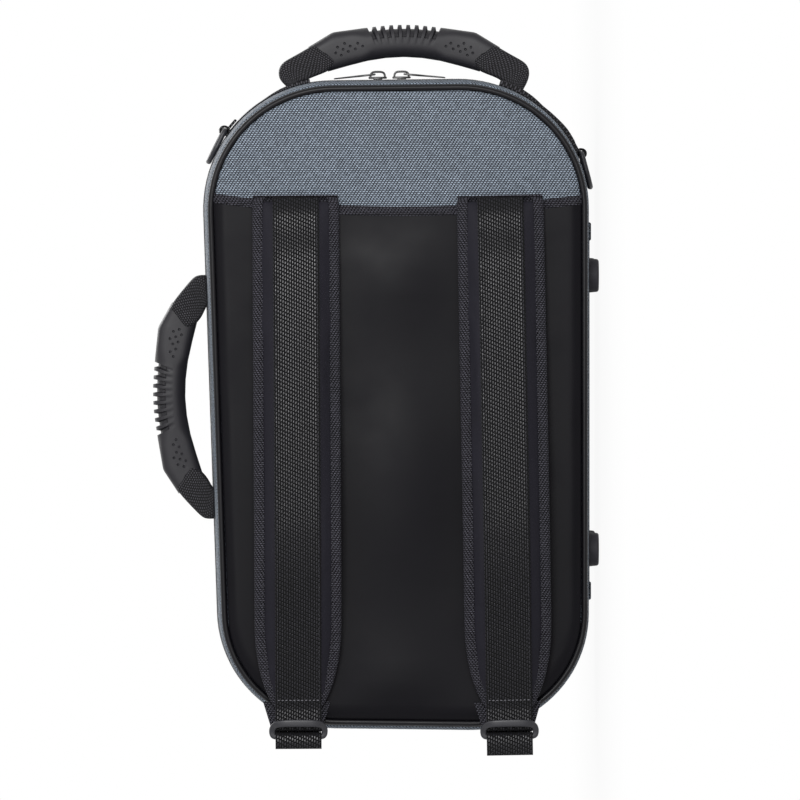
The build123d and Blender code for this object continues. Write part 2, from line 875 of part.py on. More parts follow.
def make_ring_loop(upper):
    """Webbing loop that holds one D-ring on the end of the band."""
    bar, out, along = ring_frame(upper)
    centre = corner_centre(upper)
    start = band_end_angle(upper)
    span = degrees(loop_base_length / top_corner_radius)
    far = [corner_direction(upper, start + turn) * top_corner_radius * 2 for turn in (0, span)]
    points = [(0, 0)] + [(point.X, point.Y) for point in far]
    low = top_corner_radius + band_thickness
    arc = (Circle(low + band_thickness) - Circle(low)) & Polygon(*points, align=None)
    flat = Pos(centre.X, centre.Y) * arc + ring_eye(upper)
    flat -= Pos(bar.X, bar.Y) * Circle(ring_wire_radius + ring_clearance)
    half = ring_inside_width / 2 - ring_wire_radius
    return slab(flat, handle_y - half, handle_y + half)


def make_ring(upper):
    """D-ring of round wire."""
    bar, out, along = ring_frame(upper)
    lying = ring_direction(upper)
    half = ring_inside_width / 2 + ring_wire_radius
    length = ring_length - 2 * ring_wire_radius
    plane = Plane(
        origin=(bar.X, handle_y, bar.Y),
        x_dir=(0, 1, 0),
        z_dir=Vector(0, 1, 0).cross(Vector(lying.X, 0, lying.Y)),
    )
    path = FilletPolyline(
        (-half, 0),
        (half, 0),
        (half, length),
        (-half, length),
        radius=[ring_wire_radius * 1.5] * 2 + [ring_bow_radius] * 2,
        close=True,
    )
    path = plane * path
    start = Plane(origin=path @ 0, z_dir=path % 0)
    return sweep(start * Circle(ring_wire_radius), path=path)


# Back sleeve


def sleeve_edge(drop):
    """Curved top edge of the sleeve, lowered by drop."""
    high_z = handle_side_z(sleeve_top_upper_x)
    return ThreePointArc(
        (sleeve_top_lower_x - drop, crest_z - overrun),
        (sleeve_top_middle_x - drop, (crest_z + high_z) / 2),
        (sleeve_top_upper_x - drop, high_z + overrun),
    )


def below_edge(drop):
    """Face of all that lies below the sleeve's curved edge."""
    edge = sleeve_edge(drop)
    far = -feet_side_length
    beyond = crest_z + top_end_width + bottom_end_width
    rest = Polyline(edge @ 1, (far, beyond), (far, (edge @ 0).Y), edge @ 0)
    return make_face([edge, rest])


def make_sleeve():
    """Stretch sleeve over the lower back."""
    face = outline(panel_inset) & below_edge(binding_height)
    sleeve = slab(face, -sleeve_face_y, -half_depth)
    front = sleeve.faces().sort_by(Axis.Y)[0]
    clear_x = sleeve_top_middle_x - binding_height * 3
    border = [edge for edge in front.edges() if edge.center().X < clear_x]
    return chamfer(border, sleeve_chamfer)


def make_sleeve_binding():
    """Folded tape along the sleeve's top edge."""
    face = outline(panel_inset) & (below_edge(0) - below_edge(binding_height))
    return slab(face, -sleeve_face_y - binding_thickness, -half_depth)


# Shoulder straps, built at Z = 0 and then placed


def strap_rows():
    """Station by station: X, inner face, thickness, edge thickness and half width."""
    length = strap_fold_x - strap_end_x
    rows = []
    for along, stand, thick, wide in strap_station_shares:
        thickness = strap_thickness * thick
        rows.append(
            (
                strap_fold_x - length * along,
                strap_seat_out + strap_standoff * stand,
                thickness,
                min(strap_edge_thickness, thickness),
                strap_half_width * wide,
            )
        )
    return rows


def make_strap_pad():
    """Padded middle of a strap: thick along its middle and thin at its edges."""
    sections = []
    for x, inner, thickness, edge, half in strap_rows():
        core = half - strap_binding_width
        flat = min(webbing_width / 2 + webbing_flat_margin, core - webbing_flat_margin)
        top = inner + thickness
        shoulder = min(inner + edge, top - contact)
        sections.append(
            across(x)
            * Polygon(
                (-core, inner),
                (core, inner),
                (core, shoulder),
                (flat, top),
                (-flat, top),
                (-core, shoulder),
                align=None,
            )
        )
    return loft(sections, ruled=True)


def make_strap_binding():
    """Folded tape round both long edges of a strap."""
    strips = []
    for side in (-1, 1):
        sections = []
        for x, inner, thickness, edge, half in strap_rows():
            core = half - strap_binding_width
            low, high = sorted((side * core, side * half))
            shoulder = min(inner + edge, inner + thickness - contact)
            corner_points = [(low, inner), (high, inner), (high, shoulder), (low, shoulder)]
            sections.append(across(x) * Polygon(*corner_points, align=None))
        strips.append(loft(sections, ruled=True))
    return strips


def ribbon(path, width):
    """Webbing swept along a flat line in X and Y."""
    start = Plane(origin=path @ 0, x_dir=(0, 0, 1), z_dir=path % 0)
    return sweep(start * Rectangle(width, webbing_thickness), path=path)


def lock_mid():
    """Middle bar of the ladder lock: X and distance out from mid-depth."""
    last = strap_rows()[-1]
    loop = lock_mid_bar_radius + lock_fit + webbing_thickness / 2
    return last[0] - lock_mid_drop, last[1] + last[2] + webbing_thickness / 2 - loop / 2


def make_strap_webbing():
    """Webbing down the middle of a strap and round the ladder lock's middle bar."""
    sections = []
    for x, inner, thickness, edge, half in strap_rows():
        top = inner + thickness
        middle = top + webbing_thickness / 2
        sections.append(across(x) * Pos(0, middle) * Rectangle(webbing_width, webbing_thickness))
    run = loft(sections, ruled=True)
    last = strap_rows()[-1]
    start_out = last[1] + last[2] + webbing_thickness / 2
    mid_x, mid_out = lock_mid()
    loop = lock_mid_bar_radius + lock_fit + webbing_thickness / 2
    path = FilletPolyline(
        (last[0], -start_out),
        (mid_x - loop, -(mid_out + loop)),
        (mid_x - loop, -(mid_out - loop)),
        (last[0], -(mid_out - loop)),
        radius=[loop - contact, loop - contact],
    )
    return run + ribbon(path, webbing_width)


def lock_low():
    """Lower bar of the ladder lock: X and distance out from mid-depth."""
    mid_x, mid_out = lock_mid()
    return strap_rows()[-1][0] - lock_low_drop, mid_out


def make_ladder_lock():
    """Ladder lock: two rails, an arched top bar, a middle bar and a lower bar."""
    last_x = strap_rows()[-1][0]
    mid_x, mid_out = lock_mid()
    low_x, low_out = lock_low()
    half = lock_width / 2
    top_x = last_x - lock_drop
    loop = lock_mid_bar_radius + lock_fit + webbing_thickness
    arch_inner = mid_out + loop + lock_tilt_room
    arch_outer = arch_inner + lock_top_bar_thickness
    rail_low = mid_out - lock_rail_thickness / 2
    rail_high = mid_out + lock_rail_thickness / 2
    solid = None
    for side in (-1, 1):
        z_range = sorted((side * half, side * (half - lock_rail)))
        rail = block((top_x - lock_length, top_x), (-rail_high, -rail_low), z_range)
        solid = rail if solid is None else solid + rail
    outer = [
        (-half, rail_low),
        (half, rail_low),
        (half, rail_high),
        (half - lock_rail, arch_outer),
        (-half + lock_rail, arch_outer),
        (-half, rail_high),
    ]
    inner_half = half - lock_rail
    hollow = [
        (-inner_half, rail_low - overrun),
        (inner_half, rail_low - overrun),
        (inner_half, rail_high),
        (inner_half - lock_rail / 2, arch_inner),
        (-inner_half + lock_rail / 2, arch_inner),
        (-inner_half, rail_high),
    ]
    arch = Polygon(*outer, align=None) - Polygon(*hollow, align=None)
    solid += extrude(across(top_x - lock_top_bar_height) * arch, amount=lock_top_bar_height)
    middle = Pos(top_x - lock_length / 2, 0)
    rounded = middle * RectangleRounded(lock_length, lock_width, lock_corner_radius)
    solid &= slab(rounded, -arch_outer - overrun, -rail_low + overrun)
    bar_length = lock_width - lock_rail
    solid += Pos(mid_x, -mid_out, 0) * Cylinder(lock_mid_bar_radius, bar_length)
    low_bar = Cylinder(lock_low_bar_radius, bar_length - lock_corner_radius / 2)
    return solid + Pos(low_x, -low_out, 0) * low_bar


def flap_turn():
    """Radius at which the running webbing turns over the lower bar."""
    return lock_low_bar_radius + lock_fit + webbing_thickness / 2


def make_flap(length):
    """Running end of the webbing: through the lock, over its lower bar and hanging."""
    low_x, low_out = lock_low()
    turn = flap_turn()
    start_out = low_out - turn
    end = strap_rows()[-1][0] - length
    path = FilletPolyline(
        (low_x + turn, -start_out),
        (low_x + turn, -(low_out + turn)),
        (end, -(low_out + turn)),
        radius=turn - contact,
    )
    flap = ribbon(path, webbing_width)
    hem_out = low_out + turn - webbing_thickness / 2
    half = webbing_width / 2
    hem = block(
        (end, end + min(hem_length, low_x - lock_low_bar_radius - end)),
        (-hem_out, -(hem_out - webbing_thickness / 2)),
        (-half, half),
    )
    return flap + hem


def make_fold_wrap():
    """Sewn fold at the top of a strap, which the strap swings out of."""
    inner = strap_fold_half + fold_clearance
    outer = inner + fold_wrap_thickness
    place = Pos(strap_fold_x, -strap_fold_out)
    reach = outer * 2
    start = (reach, -reach * fold_start_share)
    keep = Polygon((0, 0), start, (reach, reach), (0, reach), align=None)
    wrap = place * ((Circle(outer) - Circle(inner)) & keep)
    foot_x = strap_fold_x + inner / 2 + fold_foot_length / 2
    foot_y = -strap_fold_out + inner
    foot = Pos(foot_x, (foot_y - half_depth) / 2)
    wrap += foot * Rectangle(fold_foot_length, abs(foot_y + half_depth))
    wrap -= place * Circle(inner)
    return extrude(wrap, amount=strap_half_width, both=True)


def strap_place(upper):
    """Where one shoulder strap goes: its height and its small lean."""
    middle_z = crest_z + top_end_width * strap_mid_share
    z = middle_z + (strap_spacing / 2 if upper else -strap_spacing / 2)
    lean = upper_strap_lean if upper else lower_strap_lean
    return Pos(strap_fold_x, 0, z) * Rot(0, -lean, 0) * Pos(-strap_fold_x, 0, 0)


def tail_x():
    """Middle of the running webbing where it passes behind the lock's lower bar."""
    return lock_low()[0] + flap_turn()


def make_tail_anchor():
    """Bar-tacked tab on the sleeve's lower end that the running webbing comes from."""
    low_x = tail_x() + webbing_thickness / 2 + contact
    wide = anchor_tab_width / 2
    narrow = anchor_tab_narrow / 2
    high_x = anchor_tab_top_x
    points = [(high_x, -wide), (high_x, wide), (low_x, narrow), (low_x, -narrow)]
    tab = Polygon(*points, align=None)
    return slab(tab, -sleeve_face_y - anchor_tab_thickness, -sleeve_face_y)


def make_tail():
    """Running webbing between its tab and the ladder lock."""
    half = webbing_thickness / 2
    low_out = lock_low()[1]
    finish = low_out - flap_turn() - tail_gap
    x = tail_x()
    wide = webbing_width / 2
    return block((x - half, x + half), (-finish, -sleeve_face_y), (-wide, wide))


def collect():
    """Every piece of the case by name, in the frame it is built in."""
    base_body = half_body(base_side, 0, base_mouth_y)
    lid_body = half_body(lid_side, 0, lid_mouth_y)
    body_fill = base_body + lid_body
    banded = slab(outline(-band_thickness), handle_y - band_width, handle_y + band_width)
    above_edge = slab(below_edge(-seam), -sleeve_face_y - binding_thickness - seam, -half_depth)
    tape_start = mouth_y - zip_tape_width
    lid_tape_start = mouth_y + zip_tape_width
    pieces = {}
    base_tray = make_shell(base_side, base_mouth_y)
    pieces["base_shell"] = cut_for_coil(base_tray, base_mouth_y, base_side)
    pieces["base_gusset"] = make_gusset(base_side, tape_start)
    pieces["back_panel"] = make_panel(base_side)
    pieces["back_piping"] = make_piping(base_side)
    pieces["back_sleeve"] = make_sleeve()
    pieces["sleeve_binding"] = make_sleeve_binding()
    pieces["base_lining"] = make_lining(base_side, base_mouth_y)
    pieces["instrument_insert"] = make_insert()
    pieces["mouthpiece_holder"] = make_mouthpiece_holder()
    pieces["hold_strap_lower"] = make_hold_strap_lower()
    pieces["hold_strap_upper"] = make_hold_strap_upper()
    pieces["hold_strap_patch"] = make_hook_and_loop()
    pieces["base_zip_tape"] = make_zip_tape(base_side, base_mouth_y)
    pieces["base_zip_coil"] = make_zip_coil(base_side, base_mouth_y)
    pieces["hinge_tape"] = make_hinge_tape()
    pieces["hinge_patch"] = make_hinge_patch()
    pieces["zip_end_tabs"] = make_end_tabs()
    pieces["top_band"] = make_band()
    pieces["ring_loops"] = [make_ring_loop(upper) for upper in (True, False)]
    pieces["top_handle_anchors"] = make_anchors(top_handle_plane(), banded)
    pieces["side_handle_anchors"] = make_anchors(side_handle_plane(), body_fill)
    pieces["base_feet"] = [make_foot(place, base_body) for place in foot_places(base_side)]
    pieces["base_foot_screws"] = [make_screw(place) for place in foot_places(base_side)]
    pieces["base_foot_nuts"] = [make_nut(place) for place in foot_places(base_side)]
    lid_tray = make_shell(lid_side, lid_mouth_y)
    pieces["lid_shell"] = cut_for_coil(lid_tray, lid_mouth_y, lid_side)
    pieces["lid_gusset"] = make_gusset(lid_side, lid_tape_start)
    pieces["front_panel"] = make_panel(lid_side)
    pieces["front_piping"] = make_piping(lid_side)
    pieces["lid_lining"] = make_lining(lid_side, lid_mouth_y)
    pieces["lid_pad"] = make_lid_pad()
    pieces["lid_zip_tape"] = make_zip_tape(lid_side, lid_mouth_y)
    pieces["lid_zip_coil"] = make_zip_coil(lid_side, lid_mouth_y)
    pieces["lid_hinge_strip"] = make_hinge_strip(lid_side)
    pieces["lid_feet"] = [make_foot(place, lid_body) for place in foot_places(lid_side)]
    pieces["lid_foot_screws"] = [make_screw(place) for place in foot_places(lid_side)]
    pieces["lid_foot_nuts"] = [make_nut(place) for place in foot_places(lid_side)]
    webbing = make_handle_webbing()
    grip = make_grip(webbing)
    pieces["top_handle_webbing"] = top_handle_plane() * webbing
    pieces["top_handle_grip"] = top_handle_plane() * grip
    pieces["side_handle_webbing"] = side_handle_plane() * webbing
    pieces["side_handle_grip"] = side_handle_plane() * grip
    places = [strap_place(True), strap_place(False)]
    pieces["strap_folds"] = [place * make_fold_wrap() - above_edge for place in places]
    pieces["tail_anchors"] = [place * make_tail_anchor() for place in places]
    pieces["strap_tails"] = [place * make_tail() for place in places]
    for name, side in (("upper", 1), ("lower", -1)):
        upper = side > 0
        pieces[f"zip_slider_{name}"] = make_slider(side)
        pieces[f"zip_pull_{name}"] = make_pull(side)
        pieces[f"d_ring_{name}"] = make_ring(upper)
        place = strap_place(upper)
        pieces[f"strap_pad_{name}"] = place * make_strap_pad()
        pieces[f"strap_binding_{name}"] = [place * strip for strip in make_strap_binding()]
        pieces[f"strap_webbing_{name}"] = place * make_strap_webbing()
        pieces[f"ladder_lock_{name}"] = place * make_ladder_lock()
        length = upper_flap_length if upper else lower_flap_length
        pieces[f"strap_flap_{name}"] = place * make_flap(length)
    return pieces


def solids_of(shape):
    """All solids of a piece, which may be a list of shapes."""
    if isinstance(shape, (list, tuple)):
        return [solid for item in shape for solid in solids_of(item)]
    return list(shape.solids())


pieces = {name: Compound(children=solids_of(shape)) for name, shape in collect().items()}
whole = Compound(children=[solid for piece in pieces.values() for solid in piece.solids()])
box = whole.bounding_box()
to_frame = Pos(-(box.min.X + box.max.X) / 2, -(box.min.Y + box.max.Y) / 2, -box.min.Z)

if __name__ == "__main__":
    os.makedirs("parts", exist_ok=True)
    for name, piece in pieces.items():
        export_step(to_frame * Compound(children=list(piece.solids())), f"parts/{name}.step")
    print("box", box.size, "shift", to_frame.position)
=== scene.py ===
"""Blender scene of a zipped cornet case with shoulder straps, seen from its back.

Places and sizes are in millimetres from the middle of the case's body: X runs towards the end
with the top handle, Y from the shoulder straps to the lid, and Z up from the ground under the
rubber feet. Only at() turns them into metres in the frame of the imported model.
"""

import json
import logging
import math
from dataclasses import dataclass
from enum import Enum
from typing import Iterable, Sequence

import bmesh
import bpy
from mathutils import Matrix, Vector

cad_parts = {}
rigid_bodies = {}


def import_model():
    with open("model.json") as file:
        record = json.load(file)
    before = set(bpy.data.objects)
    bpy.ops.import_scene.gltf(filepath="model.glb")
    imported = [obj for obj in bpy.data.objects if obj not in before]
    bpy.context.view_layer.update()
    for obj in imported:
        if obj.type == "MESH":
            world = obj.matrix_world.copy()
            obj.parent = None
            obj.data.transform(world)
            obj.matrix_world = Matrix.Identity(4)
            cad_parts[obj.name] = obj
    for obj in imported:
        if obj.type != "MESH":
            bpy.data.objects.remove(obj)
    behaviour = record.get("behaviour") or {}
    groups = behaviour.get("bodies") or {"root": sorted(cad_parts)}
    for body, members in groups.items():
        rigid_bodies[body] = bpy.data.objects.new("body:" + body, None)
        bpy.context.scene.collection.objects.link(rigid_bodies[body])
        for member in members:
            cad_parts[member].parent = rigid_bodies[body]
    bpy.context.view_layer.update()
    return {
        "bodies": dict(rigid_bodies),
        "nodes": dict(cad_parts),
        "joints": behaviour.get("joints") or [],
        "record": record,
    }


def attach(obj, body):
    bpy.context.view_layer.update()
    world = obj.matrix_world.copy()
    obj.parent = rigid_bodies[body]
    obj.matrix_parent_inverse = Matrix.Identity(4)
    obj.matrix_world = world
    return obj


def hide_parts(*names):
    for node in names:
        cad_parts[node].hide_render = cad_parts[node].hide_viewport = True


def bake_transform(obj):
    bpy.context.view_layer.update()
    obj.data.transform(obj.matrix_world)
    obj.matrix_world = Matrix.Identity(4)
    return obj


MM = 0.001
MIDDLE = Vector((-0.009185, 0.01461, 0.0))
OUT = Vector((0.0, -1.0, 0.0))
DEEP = Vector((0.0, 1.0, 0.0))
BACK_Y = -80.0
HANDLE_Y = -12.0
HANDLE_Z = 126.5
HALVES = ((-1, "base", "base_half"), (1, "lid", "lid"))
log = logging.getLogger("cornet_case")

Piece = bpy.types.Object
Tree = bpy.types.NodeTree
Socket = bpy.types.NodeSocket
Row = Sequence[Vector]
Pair = tuple[float, float]
Spot = tuple[Vector, Vector]
Stop = tuple[Vector, Vector, Vector]
Trio = tuple[Socket, Socket, Socket]


def at(x: float, y: float, z: float) -> Vector:
    """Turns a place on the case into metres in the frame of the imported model."""
    return Vector((x, y, z)) * MM + MIDDLE


# Modelling tools


def deselect() -> None:
    """Goes to object mode with nothing selected."""
    if bpy.context.object and bpy.context.object.mode != "OBJECT":
        bpy.ops.object.mode_set(mode="OBJECT")
    bpy.ops.object.select_all(action="DESELECT")


def pick(piece: Piece) -> None:
    """Makes one piece the only selected one and the active one."""
    deselect()
    piece.select_set(True)
    bpy.context.view_layer.objects.active = piece


def named(name: str) -> Piece:
    """Names the active piece and its mesh.

    Args:
        name: The new name.

    Returns:
        The piece.
    """
    piece = bpy.context.object
    piece.name = name
    piece.data.name = name
    return piece


def edit_all(piece: Piece) -> None:
    """Opens a piece in edit mode with everything selected."""
    pick(piece)
    bpy.ops.object.mode_set(mode="EDIT")
    bpy.ops.mesh.select_all(action="SELECT")


def apply_modifier(piece: Piece, kind: str, **settings: object) -> None:
    """Adds a modifier with its settings and applies it.

    Args:
        piece: The piece to change.
        kind: Blender's name for the kind of modifier.
        settings: The modifier's settings by name.
    """
    pick(piece)
    modifier = piece.modifiers.new(kind.title(), kind)
    for name, value in settings.items():
        setattr(modifier, name, value)
    bpy.ops.object.modifier_apply(modifier=modifier.name)


def settle(piece: Piece, merge: float = 0.02, angle: float = 40.0) -> None:
    """Merges doubles, closes holes, turns faces outwards and smooths all but sharp edges.

    Args:
        piece: The piece to settle.
        merge: Distance in millimetres under which points become one.
        angle: Edges flatter than this many degrees are shaded smooth.
    """
    edit_all(piece)
    bpy.ops.mesh.remove_doubles(threshold=merge * MM)
    bpy.ops.mesh.fill_holes(sides=0)
    bpy.ops.mesh.select_all(action="SELECT")
    bpy.ops.mesh.normals_make_consistent(inside=False)
    bpy.ops.object.mode_set(mode="OBJECT")
    bpy.ops.object.shade_smooth_by_angle(angle=math.radians(angle))


def lay_grid(name: str, rows: Sequence[Row], wrap: bool = True, closed: bool = True) -> Piece:
    """Lays a flat grid over rows of places, as cloth is laid over a form.

    Args:
        name: The piece's name.
        rows: Rows of places in millimetres, all of the same length.
        wrap: True where each row closes on itself.
        closed: True where open ends are filled and faces are turned outwards.

    Returns:
        The piece, with a UV map in millimetres along its rows and across them.
    """
    deselect()
    count = len(rows[0])
    across = count if wrap else count - 1
    along = len(rows) - 1
    bpy.ops.mesh.primitive_grid_add(x_subdivisions=across, y_subdivisions=along, size=2)
    piece = named(name)
    widths = running_lengths([rows[along // 2][i % count] for i in range(across + 1)])
    lengths = running_lengths([row[0] for row in rows])
    cells = {}
    for vertex in piece.data.vertices:
        column = round((vertex.co.x + 1) / 2 * across)
        row = round((vertex.co.y + 1) / 2 * along)
        cells[vertex.index] = (widths[column], lengths[row])
        vertex.co = at(*rows[row][column % count])
    layer = piece.data.uv_layers.active
    for loop in piece.data.loops:
        layer.data[loop.index].uv = cells[loop.vertex_index]
    if closed:
        settle(piece)
    return piece


def running_lengths(places: Row) -> list[float]:
    """Length of a line of places up to each of them."""
    lengths = [0.0]
    for here, there in zip(places, places[1:]):
        lengths.append(lengths[-1] + (there - here).length)
    return lengths


def sweep(name: str, path: Sequence[Stop], section: Sequence[Pair], ring: bool = False) -> Piece:
    """Carries a closed section along a path.

    Args:
        name: The piece's name.
        path: Each stop's place and the two directions that the section's axes take there.
        section: The section's corners in millimetres.
        ring: True where the path's end meets its start.

    Returns:
        The closed piece.
    """
    rows = [[place + a * p + b * q for p, q in section] for place, a, b in path]
    return lay_grid(name, rows + rows[:1] if ring else rows)


def rounded_section(width: float, height: float, radius: float, steps: int = 4) -> list[Pair]:
    """Corners of a rounded rectangle about its middle, anticlockwise."""
    points = []
    for corner, (sx, sy) in enumerate(((1, 1), (-1, 1), (-1, -1), (1, -1))):
        for step in range(steps + 1):
            angle = math.radians(90 * corner + 90 * step / steps)
            x = sx * (width / 2 - radius) + radius * math.cos(angle)
            points.append((x, sy * (height / 2 - radius) + radius * math.sin(angle)))
    return points


def round_section(radius: float, sides: int = 16) -> list[Pair]:
    """Corners of a round section about its middle."""
    angles = [2 * math.pi * side / sides for side in range(sides)]
    return [(radius * math.cos(a), radius * math.sin(a)) for a in angles]


def rounded_block(name: str, low: Sequence[float], high: Sequence[float], radius: float) -> Piece:
    """Adds a block with rounded edges between two corners given in millimetres."""
    deselect()
    low, high = Vector(low), Vector(high)
    bpy.ops.mesh.primitive_cube_add(size=1, location=at(*((low + high) / 2)), scale=(high - low) * MM)
    piece = named(name)
    bpy.ops.object.transform_apply()
    apply_modifier(piece, "BEVEL", width=radius * MM, segments=3)
    settle(piece, merge=0.005)
    return piece


def soft_copy(name: str, node: Piece, radius: float) -> Piece:
    """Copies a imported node's mesh, merges it and rounds its sharp edges.

    Args:
        name: The new piece's name.
        node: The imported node.
        radius: Rounding in millimetres.

    Returns:
        The new piece, in the node's place.
    """
    piece = bpy.data.objects.new(name, node.data.copy())
    piece.data.name = name
    piece.data.materials.clear()
    bpy.context.scene.collection.objects.link(piece)
    settle(piece, merge=0.01)
    if radius:
        edit_all(piece)
        bpy.ops.mesh.tris_convert_to_quads(face_threshold=0.05, shape_threshold=3.1)
        bpy.ops.mesh.dissolve_limited(angle_limit=math.radians(1))
        bpy.ops.object.mode_set(mode="OBJECT")
        sharp = math.radians(50)
        apply_modifier(piece, "BEVEL", width=radius * MM, segments=3, limit_method="ANGLE", angle_limit=sharp)
        settle(piece, merge=0.005)
    return piece


def scatter(name: str, master: Piece, places: Iterable[Matrix]) -> Piece:
    """Repeats a master piece and joins the copies.

    Args:
        name: The new piece's name.
        master: The piece to repeat, modelled about the origin. It is removed.
        places: Where each copy goes, in metres.

    Returns:
        One piece that holds all the copies.
    """
    gathered = bmesh.new()
    for place in places:
        copy = master.data.copy()
        copy.transform(place)
        gathered.from_mesh(copy)
        bpy.data.meshes.remove(copy)
    mesh = bpy.data.meshes.new(name)
    gathered.to_mesh(mesh)
    gathered.free()
    bpy.data.objects.remove(master)
    piece = bpy.data.objects.new(name, mesh)
    bpy.context.scene.collection.objects.link(piece)
    pick(piece)
    bpy.ops.object.shade_smooth()
    return piece


def join(name: str, parts: Sequence[Piece]) -> Piece:
    """Joins pieces that are moulded, cast or handed in as one.

    Args:
        name: The joined piece's name.
        parts: The pieces.

    Returns:
        The joined piece.
    """
    deselect()
    for part in parts:
        part.select_set(True)
    bpy.context.view_layer.objects.active = parts[0]
    bpy.ops.object.join()
    return named(name)


def frame_matrix(place: Vector, a: Vector, b: Vector, c: Vector) -> Matrix:
    """Matrix that puts a master piece at a place, with its axes along three directions."""
    return Matrix.Translation(at(*place)) @ Matrix((a, b, c)).transposed().to_4x4()


def walk(line: Row, pitch: float) -> list[Spot]:
    """Evenly spaced places along a line, each with the line's direction there."""
    lengths = running_lengths(line)
    count = max(1, round(lengths[-1] / pitch))
    stops = []
    index = 0
    for step in range(count):
        wanted = (step + 0.5) * lengths[-1] / count
        while index < len(line) - 2 and lengths[index + 1] < wanted:
            index += 1
        run = line[index + 1] - line[index]
        share = (wanted - lengths[index]) / max(run.length, 1e-9)
        stops.append((line[index] + run * share, run.normalized()))
    return stops


def sew(name: str, seam: Row, pitch: float = 3.2, length: float = 2.3, radius: float = 0.32) -> Piece:
    """Sews a row of stitches along a line on the back.

    Args:
        name: The piece's name.
        seam: The line, in millimetres.
        pitch: Distance between stitches.
        length: Length of a stitch.
        radius: Half the thread's thickness as it shows.

    Returns:
        The row of stitches.
    """
    deselect()
    halves = (length * MM / 2, radius * MM, radius * MM)
    bpy.ops.mesh.primitive_ico_sphere_add(subdivisions=1, radius=1, scale=halves)
    stitch = bpy.context.object
    bpy.ops.object.transform_apply()
    places = []
    for place, along in walk(seam, pitch):
        side = OUT.cross(along).normalized()
        places.append(frame_matrix(place, along, side, along.cross(side)))
    return scatter(name, stitch, places)


def inflate(piece: Piece, voxel: float, pressure: float, cap: float, hold: float) -> None:
    """Swells a closed piece as a stuffed pad swells, and evens it out.

    Args:
        piece: The pad's plain form.
        voxel: Size of the cloth's cells in millimetres.
        pressure: Pressure inside.
        cap: How far a point may move, in millimetres.
        hold: Share of the piece's depth, from its inner face, that is sewn down.
    """
    apply_modifier(piece, "REMESH", mode="VOXEL", voxel_size=voxel * MM)
    before = [vertex.co.copy() for vertex in piece.data.vertices]
    depths = [place.y for place in before]
    line = max(depths) - hold * (max(depths) - min(depths))
    sewn = piece.vertex_groups.new(name="sewn")
    sewn.add([i for i, place in enumerate(before) if place.y > line], 1.0, "REPLACE")
    pick(piece)
    cloth = piece.modifiers.new("Cloth", "CLOTH")
    cloth.settings.use_pressure = True
    cloth.settings.uniform_pressure_force = pressure
    cloth.settings.vertex_group_mass = "sewn"
    cloth.settings.effector_weights.gravity = 0
    scene = bpy.context.scene
    for step in range(1, 21):
        scene.frame_set(step)
    bpy.ops.object.modifier_apply(modifier=cloth.name)
    scene.frame_set(1)
    for vertex, place in zip(piece.data.vertices, before):
        moved = vertex.co - place
        if moved.length > cap * MM:
            vertex.co = place + moved.normalized() * cap * MM
    piece.vertex_groups.clear()


def read(table: Sequence[Pair], value: float) -> float:
    """Reads a table of pairs at a value, in a straight line between its entries."""
    for (x0, y0), (x1, y1) in zip(table, table[1:]):
        if value <= x1:
            return y0 + (y1 - y0) * (value - x0) / (x1 - x0)
    return table[-1][1]


# Finishes


class Mapping(Enum):
    """How a woven pattern lies on a piece."""

    BACK = "X and Z of the piece"
    GROUND = "X and Y of the piece"
    ALONG = "the piece's own UV map, in millimetres"


def linear(colour: str) -> tuple[float, float, float, float]:
    """Turns an sRGB hex colour into linear light."""
    channels = [int(colour[i : i + 2], 16) / 255 for i in (1, 3, 5)]
    light = [c / 12.92 if c <= 0.04045 else ((c + 0.055) / 1.055) ** 2.4 for c in channels]
    return (*light, 1.0)


def emptied(holder: bpy.types.Material | bpy.types.World) -> Tree:
    """Gives a material's or a world's node tree with nothing in it."""
    holder.use_nodes = True
    holder.node_tree.nodes.clear()
    return holder.node_tree


def add(tree: Tree, kind: str, inputs: dict | None = None, **settings: object) -> bpy.types.Node:
    """Adds a shader node with its settings, and sets or links its inputs.

    Args:
        tree: The node tree.
        kind: Blender's name for the kind of node.
        inputs: A value or another node's output for each input.
        settings: The node's own settings.

    Returns:
        The node.
    """
    node = tree.nodes.new(kind)
    for name, value in settings.items():
        setattr(node, name, value)
    for name, value in (inputs or {}).items():
        if isinstance(value, Socket):
            tree.links.new(value, node.inputs[name])
        else:
            node.inputs[name].default_value = value
    return node


def calc(tree: Tree, operation: str, *values: Socket | float) -> Socket:
    """Adds one step of arithmetic and gives its result."""
    return add(tree, "ShaderNodeMath", dict(enumerate(values)), operation=operation).outputs[0]


def ranged(tree: Tree, *values: Socket | float, **settings: str) -> Socket:
    """Adds a change of range: a value, its two limits and what they turn into."""
    return add(tree, "ShaderNodeMapRange", dict(enumerate(values)), **settings).outputs[0]


def scaled(tree: Tree, value: Socket | Sequence[float], factor: Socket | float) -> Socket:
    """Adds a colour or a place times a factor."""
    return add(tree, "ShaderNodeVectorMath", {0: value, "Scale": factor}, operation="SCALE").outputs[0]


